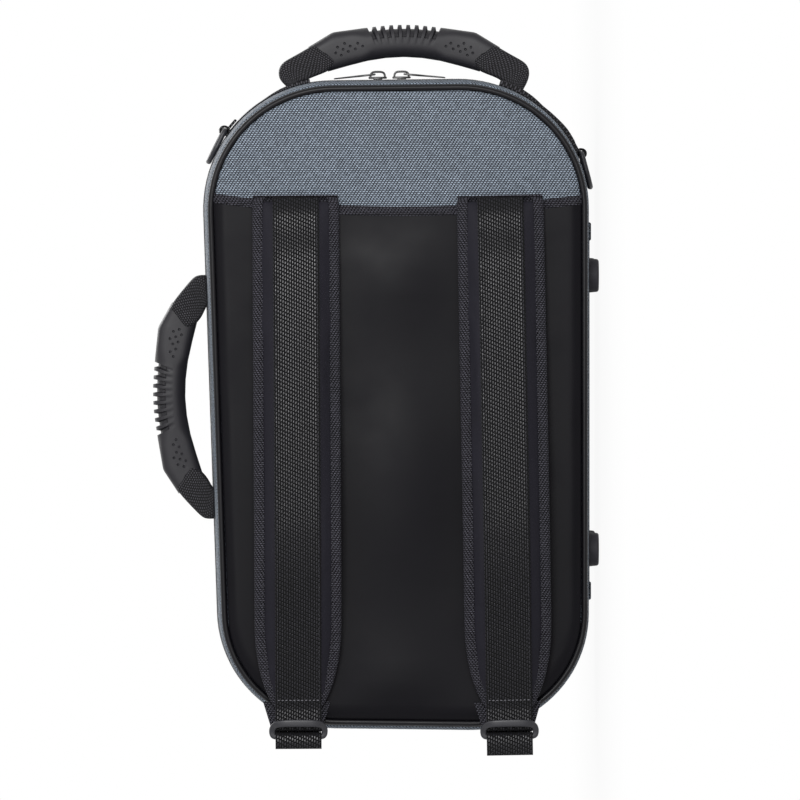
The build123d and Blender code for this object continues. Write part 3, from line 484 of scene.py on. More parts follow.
@dataclass(frozen=True)
class Finish:
    """A moulded, foamed or enamelled surface with fine grain.

    Attributes:
        name: What the material is.
        colour: Its colour in sRGB.
        roughness: How matt it is.
        grain: Size of its grain in millimetres.
        depth: Depth of its grain in millimetres.
        spread: How far its colour varies.
        sheen: Strength of the soft light of short fibres.
        shine: Strength of its reflections.
        metallic: One for bare metal.
        ior: Index of refraction.
    """

    name: str
    colour: str
    roughness: float = 0.6
    grain: float = 0.8
    depth: float = 0.04
    spread: float = 0.15
    sheen: float = 0.0
    shine: float = 0.25
    metallic: float = 0.0
    ior: float = 1.5

    def material(self) -> bpy.types.Material:
        """Gives the finish's material, made once."""
        label = f"{self.name} finish"
        made = bpy.data.materials.get(label)
        if made:
            return made
        made = bpy.data.materials.new(label)
        tree = emptied(made)
        colour, rough, height = self.surface(tree)
        bump = add(tree, "ShaderNodeBump", {"Height": height, "Distance": self.depth * MM, "Strength": 1.0})
        inputs = {
            "Base Color": colour,
            "Roughness": rough,
            "Normal": bump.outputs[0],
            "Metallic": self.metallic,
            "IOR": self.ior,
            "Sheen Weight": self.sheen,
            "Specular IOR Level": self.shine,
        }
        shader = add(tree, "ShaderNodeBsdfPrincipled", inputs)
        add(tree, "ShaderNodeOutputMaterial", {"Surface": shader.outputs[0]})
        made.diffuse_color = linear(self.colour)
        return made

    def noise(self, tree: Tree, scale: float, detail: float) -> Socket:
        """Adds a cloudy pattern on the piece and gives its height from 0 to 1."""
        place = add(tree, "ShaderNodeTexCoord").outputs["Object"]
        return add(tree, "ShaderNodeTexNoise", {"Vector": place, "Scale": scale, "Detail": detail}).outputs[0]

    def mottle(self, tree: Tree) -> Trio:
        """Adds the surface's unevenness.

        Args:
            tree: The material's node tree.

        Returns:
            The fine grain, the slow change over centimetres, and the factor that both give a colour.
        """
        grain = self.noise(tree, 1 / (self.grain * MM), 3.0)
        slow = self.noise(tree, 28.0, 2.0)
        both = calc(tree, "ADD", grain, slow)
        return grain, slow, ranged(tree, both, 0.6, 1.4, 1 - self.spread, 1 + self.spread)

    def surface(self, tree: Tree) -> Trio:
        """Adds the surface's nodes.

        Args:
            tree: The material's node tree.

        Returns:
            Its colour, roughness and height.
        """
        grain, slow, factor = self.mottle(tree)
        rough = ranged(tree, slow, 0.3, 0.7, self.roughness - 0.06, self.roughness + 0.06)
        return scaled(tree, linear(self.colour)[:3], factor), rough, grain


@dataclass(frozen=True)
class Woven(Finish):
    """A weave of raised threads over gaps painted dark as the shade in the hollows between them.

    Attributes:
        gap_shade: Colour between the threads, a painted shade.
        pitch: Distance between threads along their own run, in millimetres.
        row: Distance between rows of threads.
        step: How far each row is shifted, as a share of the pitch.
        fill: Share of the pitch that a thread fills, and share of a row.
        slant: How far the rows lean, in millimetres per millimetre.
        mapping: How the weave lies on the piece.
        turned: True where the threads run across the mapping's first axis.
        uneven: How much one thread differs from the next.
        gloss: How much smoother the raised threads are.
        soft: How gently a thread's edge falls off.
    """

    gap_shade: str = "#202024"
    pitch: float = 2.0
    row: float = 1.2
    step: float = 0.35
    fill: Pair = (0.62, 0.66)
    slant: float = 0.0
    mapping: Mapping = Mapping.ALONG
    turned: bool = False
    uneven: float = 0.2
    gloss: float = 0.0
    soft: float = 0.06

    def axes(self, tree: Tree) -> list[Socket]:
        """Adds the pattern's two axes, in millimetres along a thread and across it."""
        source = add(tree, "ShaderNodeTexCoord").outputs
        if self.mapping is Mapping.ALONG:
            parts = add(tree, "ShaderNodeSeparateXYZ", {0: source["UV"]}).outputs
            pair = [parts[0], parts[1]]
        else:
            parts = add(tree, "ShaderNodeSeparateXYZ", {0: scaled(tree, source["Object"], 1 / MM)}).outputs
            pair = [parts[2 if self.mapping is Mapping.BACK else 1], parts[0]]
        if self.turned:
            pair.reverse()
        return [calc(tree, "MULTIPLY_ADD", pair[1], self.slant, pair[0]), pair[1]]

    def threads(self, tree: Tree) -> tuple[Socket, Socket]:
        """Adds the pattern of raised threads.

        Args:
            tree: The material's node tree.

        Returns:
            1 on a thread and 0 in a gap, and a random number for each thread.
        """
        run, across = self.axes(tree)
        lines = calc(tree, "MULTIPLY", across, 1 / self.row)
        number = calc(tree, "FLOOR", lines)
        turns = calc(tree, "MULTIPLY_ADD", run, 1 / self.pitch, calc(tree, "MULTIPLY", number, self.step))
        masks = []
        for value, fill in ((turns, self.fill[0]), (lines, self.fill[1])):
            near = calc(tree, "PINGPONG", calc(tree, "FRACT", value), 0.5)
            edge = 0.5 - fill / 2
            limits = (edge - self.soft, edge + self.soft)
            masks.append(ranged(tree, near, *limits, interpolation_type="SMOOTHSTEP"))
        cell = add(tree, "ShaderNodeCombineXYZ", {0: calc(tree, "FLOOR", turns), 1: number}).outputs[0]
        chance = add(tree, "ShaderNodeTexWhiteNoise", {"Vector": cell}, noise_dimensions="2D").outputs[0]
        return calc(tree, "MULTIPLY", *masks), chance

    def surface(self, tree: Tree) -> Trio:
        """Adds the weave's nodes.

        Args:
            tree: The material's node tree.

        Returns:
            Its colour, roughness and height.
        """
        thread, chance = self.threads(tree)
        grain, slow, factor = self.mottle(tree)
        each = ranged(tree, chance, 0.0, 1.0, 1 - self.uneven, 1 + self.uneven)
        # The gap colour is painted shade in the hollows between the threads.
        layers = {"Factor": thread, 6: linear(self.gap_shade), 7: scaled(tree, linear(self.colour)[:3], each)}
        mixed = add(tree, "ShaderNodeMix", layers, data_type="RGBA").outputs[2]
        hollow = min(1.0, self.roughness + 0.2 + 4 * self.gloss)
        rough = ranged(tree, thread, 0.0, 1.0, hollow, self.roughness - self.gloss)
        return scaled(tree, mixed, factor), rough, calc(tree, "MULTIPLY_ADD", grain, 0.2, thread)


# 1680 denier nylon: coarse flat threads that catch the light, over gaps painted dark as the shade between
#                    threads
NYLON_THREAD = {"colour": "#96A2B1", "gap_shade": "#16191E", "roughness": 0.55, "grain": 0.35, "depth": 0.16}
NYLON_THREAD |= {"spread": 0.1, "shine": 0.3, "pitch": 2.15, "row": 1.2, "step": 0.36, "fill": (0.68, 0.6)}
NYLON = Woven("ballistic nylon", mapping=Mapping.BACK, **NYLON_THREAD)
NYLON_ROUND = Woven("ballistic nylon on the round", **NYLON_THREAD)
NYLON_FLAT = Woven("ballistic nylon on the ground side", mapping=Mapping.GROUND, **NYLON_THREAD)
# Polypropylene webbing: long twill floats along the strap, glossy on their crowns, with gaps painted near
# black as the shade between floats
WEBBING_THREAD = {"colour": "#1B1A20", "gap_shade": "#020203", "roughness": 0.36, "grain": 0.4, "depth": 0.1}
WEBBING_THREAD |= {"shine": 0.28, "pitch": 2.6, "row": 1.6, "step": 0.5, "fill": (0.62, 0.5), "slant": 0.35}
WEBBING_THREAD |= {"uneven": 0.35, "gloss": 0.1, "turned": True}
WEBBING = Woven("strap webbing", **WEBBING_THREAD)
WEBBING_FLAT = Woven("webbing laid flat", mapping=Mapping.BACK, **WEBBING_THREAD)
# Coarse handle webbing: its gap colour is painted shade between the threads
COARSE = {"gap_shade": "#09090B", "pitch": 2.0, "row": 1.6, "step": 0.5, "fill": (0.6, 0.6)}
HANDLE_WEBBING = Woven("handle webbing", "#3E3D42", 0.55, 0.4, 0.4, **COARSE)
# Grosgrain: fine close ribs across the tape, with gaps painted dark as the shade between ribs
GROSGRAIN_THREAD = {"colour": "#4A4951", "gap_shade": "#060608", "roughness": 0.72, "grain": 0.3, "depth": 0.15}
GROSGRAIN_THREAD |= {"shine": 0.15, "pitch": 2.2, "row": 1.2, "step": 0.35, "fill": (0.7, 0.55)}
GROSGRAIN = Woven("grosgrain tape", **GROSGRAIN_THREAD)
GROSGRAIN_FLAT = Woven("grosgrain laid flat", mapping=Mapping.BACK, **GROSGRAIN_THREAD)
# Zip tape: close weave whose gap colour is painted shade between threads
CLOSE = {"gap_shade": "#0E0E10", "pitch": 1.6, "row": 1.2, "step": 0.25}
ZIP_TAPE = Woven("zip tape", "#1E1E22", 0.7, 0.3, 0.12, shine=0.15, **CLOSE)
# Neoprene faced with nylon jersey: even and matt, with a faint bloom
NEOPRENE = Finish("stretch neoprene", "#0A090E", 0.42, 0.6, 0.03, 0.16, sheen=0.01, shine=0.1)
KNIT = Finish("jersey over foam", "#1F1E25", 0.6, 0.55, 0.05, 0.2, sheen=0.02, shine=0.1)
# Soft vinyl over cord: smooth with a dull shine
VINYL = Finish("piping vinyl", "#0C0B0F", 0.36, 1.2, 0.02, 0.1, shine=0.2)
# Thermoplastic rubber, moulded: satin with a fine sparked grain
RUBBER = Finish("grip rubber", "#232226", 0.5, 0.5, 0.03, 0.1, shine=0.3)
FOOT = Finish("foot rubber", "#343338", 0.6, 0.6, 0.04, 0.12, shine=0.2)
# Acetal, moulded: slightly waxy
ACETAL = Finish("buckle acetal", "#27272C", 0.4, 0.8, 0.02, 0.08, shine=0.4)
# Zinc, die-cast and enamelled black, and nylon wound into the zip's coil
ENAMEL = Finish("black enamelled zinc", "#141416", 0.32, 1.5, 0.01, 0.08, shine=0.5, ior=1.6)
COIL = Finish("nylon coil", "#141417", 0.45, 1.0, 0.02, 0.08, shine=0.3)
# Steel, zinc-plated
ZINC = Finish("zinc-plated steel", "#A9A9AC", 0.34, 0.7, 0.02, 0.06, shine=0.5, metallic=1.0)
# Polyethylene foam board, cut: tiny closed cells
FOAM_BOARD = Finish("cut foam board", "#3A3A3D", 0.9, 1.1, 0.18, 0.2, shine=0.1)
# Flocked foam, plush and hook tape: short fibres that bloom at the edges
FLOCK = Finish("flocked foam", "#3B3D45", 0.95, 0.7, 0.2, 0.25, sheen=0.12, shine=0.05)
PLUSH = Finish("grey plush", "#50535C", 0.95, 1.4, 0.4, 0.3, sheen=0.15, shine=0.05)
HOOKS = Finish("hook and loop", "#0E0E10", 0.85, 0.8, 0.5, 0.3, sheen=0.1, shine=0.1)
# Bonded polyester thread
THREAD = Finish("black thread", "#2C2B30", 0.5, 0.4, 0.02, 0.15, shine=0.3)
PALE_THREAD = Finish("grey thread", "#77767C", 0.5, 0.4, 0.02, 0.15, shine=0.3)


@dataclass(frozen=True)
class Bend:
    """Cloth that spans a joint between two bodies; it is left in place and follows neither.

    Attributes:
        still: Body at its first end; not used.
        moving: Body at its second end, which only the log names.
        start: Place where the bend starts, in millimetres; not used.
        end: Place where it ends; not used.
    """

    still: str
    moving: str
    start: Vector
    end: Vector


def hand_in(piece: Piece, finish: Finish, body: str | Bend, slot: str, *nodes: str) -> Piece:
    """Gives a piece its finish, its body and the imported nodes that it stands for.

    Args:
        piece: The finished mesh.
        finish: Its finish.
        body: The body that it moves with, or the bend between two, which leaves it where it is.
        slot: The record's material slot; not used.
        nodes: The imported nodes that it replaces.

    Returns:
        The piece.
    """
    piece.data.materials.clear()
    piece.data.materials.append(finish.material())
    if isinstance(body, Bend):
        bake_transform(piece)
    else:
        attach(piece, body)
    if nodes:
        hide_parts(*nodes)
    carrier = body.moving if isinstance(body, Bend) else body
    log.info("%s goes with %s, %d faces", piece.name, carrier, len(piece.data.polygons))
    return piece


# The case's body


@dataclass(frozen=True)
class Outline:
    """The body's rounded outline, seen from its back.

    Attributes:
        feet_side: Length along the feet.
        handle_side: Length along the side handle.
        top_end: Width at the top handle.
        bottom_end: Width at the other end.
        top_radius: Corner radius at the top handle.
        bottom_radius: Corner radius at the other end.
        crest: Height of the feet side over the ground.
        side_ease: How much nearer the edge the seams lie along both sides than at both ends.
    """

    feet_side: float = 427.0
    handle_side: float = 421.0
    top_end: float = 253.5
    bottom_end: float = 239.0
    top_radius: float = 84.0
    bottom_radius: float = 77.0
    crest: float = 6.5
    side_ease: float = 1.6

    def corners(self, inset: float) -> list[Vector]:
        """The four corners in X and Z once every side has moved in by inset."""
        feet, handle = self.feet_side / 2, self.handle_side / 2
        top, bottom = self.crest + self.top_end, self.crest + self.bottom_end
        shape = ((-feet, self.crest), (feet, self.crest), (handle, top), (-handle, bottom))
        plain = [Vector(corner) for corner in shape]
        moved = []
        for index, here in enumerate(plain):
            arriving = (here - plain[index - 1]).normalized()
            leaving = (plain[(index + 1) % 4] - here).normalized()
            inward = Vector((-arriving.y, arriving.x))
            also_inward = Vector((-leaving.y, leaving.x))
            moved.append(here + (inward + also_inward) * inset / (1 + inward.dot(also_inward)))
        return moved

    def ease(self, inset: float) -> float:
        """How much less than inset a line is drawn in along both sides."""
        return self.side_ease * min(1.0, inset / 3.0)

    def line(self, inset: float, arc_steps: int = 24) -> list[Spot]:
        """The outline from the feet side's low end, anticlockwise.

        Args:
            inset: How far the line is drawn inwards.
            arc_steps: Places round each corner.

        Returns:
            Each place in X and Z, with the direction outwards.
        """
        radii = [self.bottom_radius, self.top_radius, self.top_radius, self.bottom_radius]
        plain = self.corners(0)
        side_steps = 40
        arcs = []
        for index, radius in enumerate(radii):
            centre = self.corners(radius)[index]
            arriving = (plain[index] - plain[index - 1]).normalized()
            leaving = (plain[(index + 1) % 4] - plain[index]).normalized()
            start = math.atan2(-arriving.x, arriving.y)
            turn = arriving.angle_signed(leaving) * -1
            outs = []
            for step in range(arc_steps + 1):
                angle = start + turn * step / arc_steps
                out = Vector((math.cos(angle), math.sin(angle)))
                outs.append((centre + out * (radius - inset + self.ease(inset) * out.y**2), out))
            arcs.append(outs)
        line = []
        for index in range(4):
            line += arcs[index]
            start, out = arcs[index][-1]
            end = arcs[(index + 1) % 4][0][0]
            line += [(start.lerp(end, step / side_steps), out) for step in range(1, side_steps)]
        return line

    def ring(self, inset: float, y: float) -> list[Vector]:
        """The outline at one depth, as places."""
        return [Vector((place.x, y, place.y)) for place, out in self.line(inset)]

    def depth(self, x: float, z: float, line: Sequence[Spot]) -> float:
        """Distance of a place from the outline, for a place inside it."""
        return min((place.x - x) * out.x + (place.y - z) * out.y for place, out in line)

    def side_z(self, x: float, inset: float) -> Pair:
        """Height of the feet side and of the handle side at x."""
        corners = self.corners(inset)
        share = (x - corners[3].x) / (corners[2].x - corners[3].x)
        high = corners[3].y + (corners[2].y - corners[3].y) * share
        return corners[0].y - self.ease(inset), high + self.ease(inset)

    def zip_path(self, low_x: float, high_x: float, pitch: float) -> list[Stop]:
        """The outline between the zip's two ends, the long way round.

        Args:
            low_x: The zip's end near the bottom end.
            high_x: The zip's end near the top end.
            pitch: Distance between places.

        Returns:
            Each place in X and Z, with the directions outwards and along.
        """
        line = self.ring(0.0, 0)
        count = len(line)
        floor_z = line[30].z
        start = next(i for i in range(count) if abs(line[i].z - floor_z) < 0.01 and line[i].x > high_x)
        path = [Vector((high_x, 0, floor_z))]
        for step in range(count):
            here = line[(start + step) % count]
            if step > 60 and abs(here.z - floor_z) < 0.01 and here.x > low_x:
                break
            path.append(here)
        path.append(Vector((low_x, 0, floor_z)))
        return [(place, Vector((along.z, 0, -along.x)), along) for place, along in walk(path, pitch)]


OUTLINE = Outline()


@dataclass
class Shell:
    """The two halves' skins, panels and piping.

    Attributes:
        edge_y: Distance from mid-depth to the gusset's seam.
        bulge: How far the sides draw in there.
        gentle: Share of that which the sides draw in before the shoulder.
        shoulder: Depth over which the gusset rolls over to its seam.
        panel_y: Distance from mid-depth to a panel's face.
        panel_inset: Gap between the outline and a panel's edge.
        skin: Thickness of the nylon.
        piping_radius: Radius of the piping.
        mouth_y: Depth of the zip line.
        tape_width: Width of a zip tape.
    """

    edge_y: float = 77.0
    bulge: float = 3.0
    gentle: float = 0.35
    shoulder: float = 5.0
    panel_y: float = 80.0
    panel_inset: float = 7.1
    skin: float = 1.2
    piping_radius: float = 2.0
    mouth_y: float = 14.0
    tape_width: float = 10.0

    def inset(self, y: float) -> float:
        """How far the sides draw in at one depth, gently and then round the shoulder."""
        share = max(0.0, abs(y) / self.edge_y - 0.5) * 2
        drawn = self.gentle * self.bulge * share**1.5
        past = max(0.0, abs(y) - self.edge_y + self.shoulder) / self.shoulder
        return drawn + (self.bulge - drawn) * (1 - math.sqrt(1 - min(1.0, past) ** 2))

    def gusset(self, side: int, name: str) -> Piece:
        """Makes the nylon skin round one half."""
        start = self.mouth_y + side * self.tape_width
        inner = side * (self.edge_y - self.shoulder)
        stops = [start + (inner - start) * step / 11 for step in range(12)]
        stops += [inner + side * self.shoulder * math.sin(math.pi / 2 * step / 7) for step in range(1, 8)]
        rows = [OUTLINE.ring(self.inset(y), y) for y in stops]
        rows.append(OUTLINE.ring(self.bulge + 0.5, side * (self.edge_y + 0.35)))
        piece = lay_grid(name, rows, closed=False)
        edit_all(piece)
        bpy.ops.mesh.remove_doubles(threshold=0.02 * MM)
        bpy.ops.object.mode_set(mode="OBJECT")
        outward = piece.data.polygons[40].normal.z < 0
        apply_modifier(piece, "SOLIDIFY", thickness=self.skin * MM, offset=-1.0 if outward else 1.0)
        settle(piece, angle=50)
        return piece

    def panel(self, side: int, name: str) -> Piece:
        """Makes a face panel whose edge rolls down into the piping's groove."""
        profile = [(0.3, -1.45), (0.0, -1.2), (0.15, -0.7), (0.7, -0.25)]
        profile += [(1.8, -0.05), (4.0, 0.0), (12.0, 0.08)]
        rows = [OUTLINE.ring(self.panel_inset + p, side * (self.panel_y + q)) for p, q in profile]
        return lay_grid(name, rows)

    def cord(self, side: int, name: str, inset: float, y: float, section: Sequence[Pair]) -> Piece:
        """Carries a section round the outline.

        Args:
            side: -1 on the base half and 1 on the lid.
            name: The piece's name.
            inset: How far inside the outline it runs.
            y: Its distance from mid-depth.
            section: The section's corners in millimetres.

        Returns:
            The closed ring.
        """
        path = []
        for place, out in OUTLINE.line(inset):
            path.append((Vector((place.x, side * y, place.y)), Vector((out.x, 0, out.y)), DEEP * side))
        return sweep(name, path, section, ring=True)

    def build(self) -> None:
        """Makes and hands in both halves' skins, seam rolls, panels and piping."""
        radius = self.piping_radius
        for (side, half, body), face in zip(HALVES, ("back", "front")):
            skin = self.gusset(side, f"{half}_gusset_skin")
            hand_in(skin, NYLON_ROUND, body, "grey_nylon", f"{half}_gusset")
            edge = (self.bulge + 0.55, self.edge_y + 0.2)
            roll = self.cord(side, f"{half}_gusset_fold", *edge, round_section(0.6, 8))
            hand_in(roll, NYLON_ROUND, body, "grey_nylon")
            cloth = self.panel(side, f"{face}_panel_cloth")
            panel = hand_in(cloth, NYLON, body, "grey_nylon", f"{face}_panel")
            groove = (self.bulge + radius, self.panel_y + 1.0 - radius)
            piping = self.cord(side, f"{face}_piping_cord", *groove, round_section(radius - 0.03))
            hand_in(piping, VINYL, body, "piping_vinyl", f"{face}_piping")
            self.declare_panel()

    def declare_panel(self) -> None:
        """Works out the area inside a panel's outline, and does nothing more with it."""
        places = [place for place, out in OUTLINE.line(self.panel_inset)]
        pairs = zip(places, places[1:] + places[:1])
        area = abs(sum(a.x * b.y - b.x * a.y for a, b in pairs)) / 2


@dataclass
class Zip:
    """The zip round the mouth, with its tapes, coils, sliders and pulls.

    Attributes:
        low_x: The zip's end near the bottom end.
        high_x: The zip's end near the top end.
        mouth_y: Depth of the zip line.
        coil_width: Width of one half's coil.
        tape_width: Width of one half with its coil.
        pitch: Distance between the turns of a coil.
        slider_z: Height of the upper and of the lower slider.
        pin: Where a pull's pin is, out from its slider's plane and along it.
        tab: A pull's tab: half width, half height and reach of each section.
    """

    low_x: float = -122.0
    high_x: float = 113.0
    mouth_y: float = 14.0
    coil_width: float = 1.7
    tape_width: float = 10.0
    pitch: float = 1.5
    slider_z: Pair = (143.2, 127.6)
    pin: Pair = (3.9, 2.0)
    tab: tuple[tuple[float, float, float], ...] = (
        (3.1, 0.65, 7.6), (2.7, 0.65, 10.0), (2.4, 0.6, 13.0), (2.6, 0.55, 19.0), (3.0, 0.5, 23.5),
        (2.8, 0.45, 25.6), (1.7, 0.35, 26.8),
    )

    def tape(self, side: int, name: str) -> Piece:
        """Makes the woven tape of one half."""
        width = self.tape_width - self.coil_width - 0.2
        middle = self.mouth_y + side * (self.coil_width + 0.2 + width / 2)
        line = OUTLINE.zip_path(self.low_x, self.high_x, 5.0)
        path = [(place + DEEP * middle - out * 0.5, DEEP, out) for place, out, along in line]
        return sweep(name, path, rounded_section(width, 1.3, 0.3, 2))

    def coil(self, side: int, name: str) -> Piece:
        """Makes the turns of one half's coil."""
        deselect()
        bpy.ops.mesh.primitive_cylinder_add(vertices=8, radius=0.5, depth=1)
        turn = bpy.context.object
        turn.dimensions = (0.95 * MM, 2.4 * MM, 1.8 * MM)
        bpy.ops.object.transform_apply()
        edit_all(turn)
        bpy.ops.mesh.bevel(offset=0.2 * MM, segments=1)
        bpy.ops.object.mode_set(mode="OBJECT")
        places = []
        middle = DEEP * (self.mouth_y + side * (0.15 + self.coil_width / 2))
        shift = self.pitch * 0.25 * side
        for place, out, along in OUTLINE.zip_path(self.low_x, self.high_x, self.pitch):
            places.append(frame_matrix(place + middle - out * 0.5 + along * shift, along, out, DEEP))
        return scatter(name, turn, places)

    def slider(self, index: int, name: str) -> Piece:
        """Makes one slider: a waisted plate, a jaw and an arched bridge."""
        plate = rounded_block("plate", (1.0, -4.0, -6.0), (2.4, 4.0, 6.0), 0.55)
        jaw = rounded_block("jaw", (0.5, -4.0, -3.0), (2.0, -3.2, 3.0), 0.3)
        line = []
        for step in range(25):
            angle = math.pi * step / 24
            reach = 4.7 * math.copysign(abs(math.cos(angle)) ** 0.6, math.cos(angle))
            line.append(Vector((1.9 + 3.7 * math.sin(angle) ** 0.6, 0, reach)))
        arch = []
        for step, place in enumerate(line):
            run = (line[min(24, step + 1)] - line[max(0, step - 1)]).normalized()
            arch.append((place, DEEP, Vector((run.z, 0, -run.x))))
        piece = join(name, [plate, jaw, sweep("bridge", arch, rounded_section(2.4, 1.4, 0.5, 2))])
        piece.data.transform(self.plane(index) @ Matrix.Translation(-MIDDLE))
        return piece

    def plane(self, index: int) -> Matrix:
        """Frame of one slider on the sloping end."""
        z = self.slider_z[index]
        slope = Vector((OUTLINE.handle_side - OUTLINE.feet_side, 0, 2 * OUTLINE.top_end)).normalized()
        x = OUTLINE.feet_side / 2 + slope.x / slope.z * (z - OUTLINE.crest)
        return frame_matrix(Vector((x, self.mouth_y, z)), Vector((slope.z, 0, -slope.x)), DEEP, slope)

    def pull(self, index: int, name: str) -> Piece:
        """Makes one pull: a ring round the bridge, and a long thin tab that droops to the cloth."""
        side = 1 if index == 0 else -1
        pin = [(DEEP * y, Vector((1, 0, 0)), Vector((0, 0, 1))) for y in (-3.1, 0, 3.1)]
        parts = [sweep("pin", pin, round_section(0.7, 10))]
        for middle in (-2.6, 2.6):
            parts.append(rounded_block("arm", (-0.65, middle - 0.6, 0.0), (0.65, middle + 0.6, 8.2), 0.35))
        rim = []
        for half_width, half_height, reach in self.tab:
            section = rounded_section(2 * half_width, 2 * half_height, half_height * 0.7, 2)
            rim.append([Vector((q, p, reach)) for p, q in section])
        parts.append(lay_grid("tab", rim))
        piece = join(name, parts)
        droop = Matrix.Rotation(math.radians(-5.5), 4, "Y")
        turn = droop if side > 0 else Matrix.Diagonal((1, 1, -1, 1)) @ droop
        pinned = Matrix.Translation(Vector((self.pin[0], 0, side * self.pin[1])) * MM)
        piece.data.transform(self.plane(index) @ pinned @ turn @ Matrix.Translation(-MIDDLE))
        settle(piece, merge=0.002)
        return piece

    def build(self) -> None:
        """Makes and hands in the whole zip."""
        for side, half, body in HALVES:
            tape = self.tape(side, f"{half}_tape_weave")
            hand_in(tape, ZIP_TAPE, body, "black_binding", f"{half}_zip_tape")
            coil = self.coil(side, f"{half}_coil_turns")
            hand_in(coil, COIL, body, "zip_nylon", f"{half}_zip_coil")
        for index, label in enumerate(("upper", "lower")):
            slider = self.slider(index, f"slider_{label}_body")
            hand_in(slider, ENAMEL, f"slider_{label}", "zip_metal", f"zip_slider_{label}")
            pull = self.pull(index, f"pull_{label}_tab")
            hand_in(pull, ENAMEL, f"pull_{label}", "zip_metal", f"zip_pull_{label}")


# Back sleeve


@dataclass
class Sleeve:
    """The stretch sleeve over the lower back, with the bound edge at its top.

    Attributes:
        thickness: Thickness of the neoprene.
        top_x: Its top edge at the feet side, in the middle and at the handle side.
        binding: Height of the tape on its edge.
        inset: Gap between the outline and its sides.
        middle_z: Height of its middle, between the straps.
        swell_half: Half the height of the swelling between the straps.
        swell: How far it swells on average, and how far a long wave adds to that.
        wave: Where a crest of that wave lies, and the wave's length.
        top_fade: Where the swelling ends towards the top edge, and the length over which it fades.
        low_fade: The same towards the lower end.
    """

    thickness: float = 3.0
    top_x: tuple[float, float, float] = (138.0, 129.7, 141.0)
    binding: float = 6.2
    inset: float = 7.1
    middle_z: float = 131.8
    swell_half: float = 46.0
    swell: Pair = (2.3, 1.4)
    wave: Pair = (-55.0, 170.0)
    top_fade: Pair = (118.0, 40.0)
    low_fade: Pair = (-205.0, 30.0)

    def edge_x(self, z: float) -> float:
        """Where the curved top edge lies at height z."""
        share = (z - OUTLINE.crest) / OUTLINE.top_end
        low, middle, high = self.top_x
        bow = middle - (low + high) / 2
        return low + (high - low) * share + bow * (1 - (2 * share - 1) ** 2)

    def crown(self, x: float, z: float) -> float:
        """How far the cloth swells between the straps."""
        across = min(1.0, abs(z - self.middle_z) / self.swell_half)
        top = min(1.0, max(0.0, (self.top_fade[0] - x) / self.top_fade[1]))
        ends = top * min(1.0, max(0.0, (x - self.low_fade[0]) / self.low_fade[1]))
        height = self.swell[0] + self.swell[1] * math.cos(2 * math.pi * (x - self.wave[0]) / self.wave[1])
        return height * math.cos(math.pi / 2 * across) ** 2 * ends**2 * (3 - 2 * ends)

    def low_edge(self, columns: Sequence[float], line: Sequence[Spot]) -> list[float]:
        """X of the outline's lower end at each share of the width.

        Args:
            columns: Shares of the width, from the feet side.
            line: The outline that the sleeve fills.

        Returns:
            X of each column's lower end.
        """
        ends = []
        for place, out in line:
            low, high = OUTLINE.side_z(place.x, self.inset)
            if place.x < 0:
                ends.append(((place.y - low) / (high - low), place.x))
        ends.sort()
        found = []
        for share in columns:
            index = next((i for i in range(1, len(ends)) if ends[i][0] >= share), len(ends) - 1)
            (s0, x0), (s1, x1) = ends[index - 1], ends[index]
            part = (share - s0) / (s1 - s0) if s1 > s0 else 0.0
            found.append(x0 + (x1 - x0) * min(1.0, max(0.0, part)))
        return found

    def rows(self, shares: Sequence[float], drops: Pair, lift: float, roll: float, whole: bool) -> list[Row]:
        """Rows of places across the back.

        Args:
            shares: How far each row is from the first edge to the second.
            drops: How far both edges lie below the sleeve's top edge.
            lift: Height over the panel away from the edges.
            roll: Distance over which the edges roll down.
            whole: True where the first edge is the outline's lower end instead.

        Returns:
            The rows.
        """
        line = OUTLINE.line(self.inset)
        columns = [0.5 - 0.5 * math.cos(math.pi * step / 64) for step in range(65)]
        starts = self.low_edge(columns, line)
        rows = []
        for share in shares:
            row = []
            for column, start in zip(columns, starts):
                low, high = OUTLINE.side_z(start, self.inset)
                edge = self.edge_x(low + (high - low) * column)
                first = start if whole else edge - drops[0]
                x = first + (edge - drops[1] - first) * share
                low, high = OUTLINE.side_z(x, self.inset)
                z = low + (high - low) * column
                fall = max(0.0, 1 - max(0.0, OUTLINE.depth(x, z, line)) / roll)
                row.append(Vector((x, BACK_Y - (lift + self.crown(x, z)) * (1 - fall**2.2), z)))
            rows.append(row)
        return rows

    def cloth(self, name: str, rows: list[Row]) -> Piece:
        """Closes rows of places into a sheet that lies on the panel."""
        under = [[Vector((place.x, BACK_Y + 0.05, place.z)) for place in row] for row in rows]
        loops = [list(row) + low[::-1] for row, low in zip(rows, under)]
        return lay_grid(name, [under[0] + under[0][::-1], *loops, under[-1] + under[-1][::-1]])

    def build(self) -> None:
        """Makes and hands in the sleeve, its binding and its seam."""
        shares = [0.0, 0.003, 0.008, 0.016, 0.03, 0.05, 0.08] + [step / 25 for step in range(3, 26)]
        rows = self.rows(shares, (0.0, self.binding - 0.4), self.thickness, 7.0, True)
        cloth = self.cloth("sleeve_neoprene", rows)
        sleeve = hand_in(cloth, NEOPRENE, "base_half", "neoprene", "back_sleeve")
        lift = self.thickness + 0.7
        tape_rows = self.rows([0.0, 0.06, 0.3, 0.7, 0.94, 1.0], (self.binding, 0.0), lift, 4.0, False)
        for row, drop in zip(tape_rows, (0.6, 0.15, 0.0, 0.0, 0.15, 0.7)):
            for place in row:
                place.y = min(BACK_Y - 0.2, place.y + drop)
        tape = self.cloth("sleeve_edge_tape", tape_rows)
        hand_in(tape, GROSGRAIN_FLAT, "base_half", "black_binding", "sleeve_binding")
        seam_row = self.rows([0.0], (self.binding - 1.4, 0.0), lift, 4.0, False)[0]
        seam = sew("sleeve_edge_seam", [place + OUT * 0.12 for place in seam_row[3:-3]])
        hand_in(seam, THREAD, "base_half", "black_binding")


# Shoulder straps


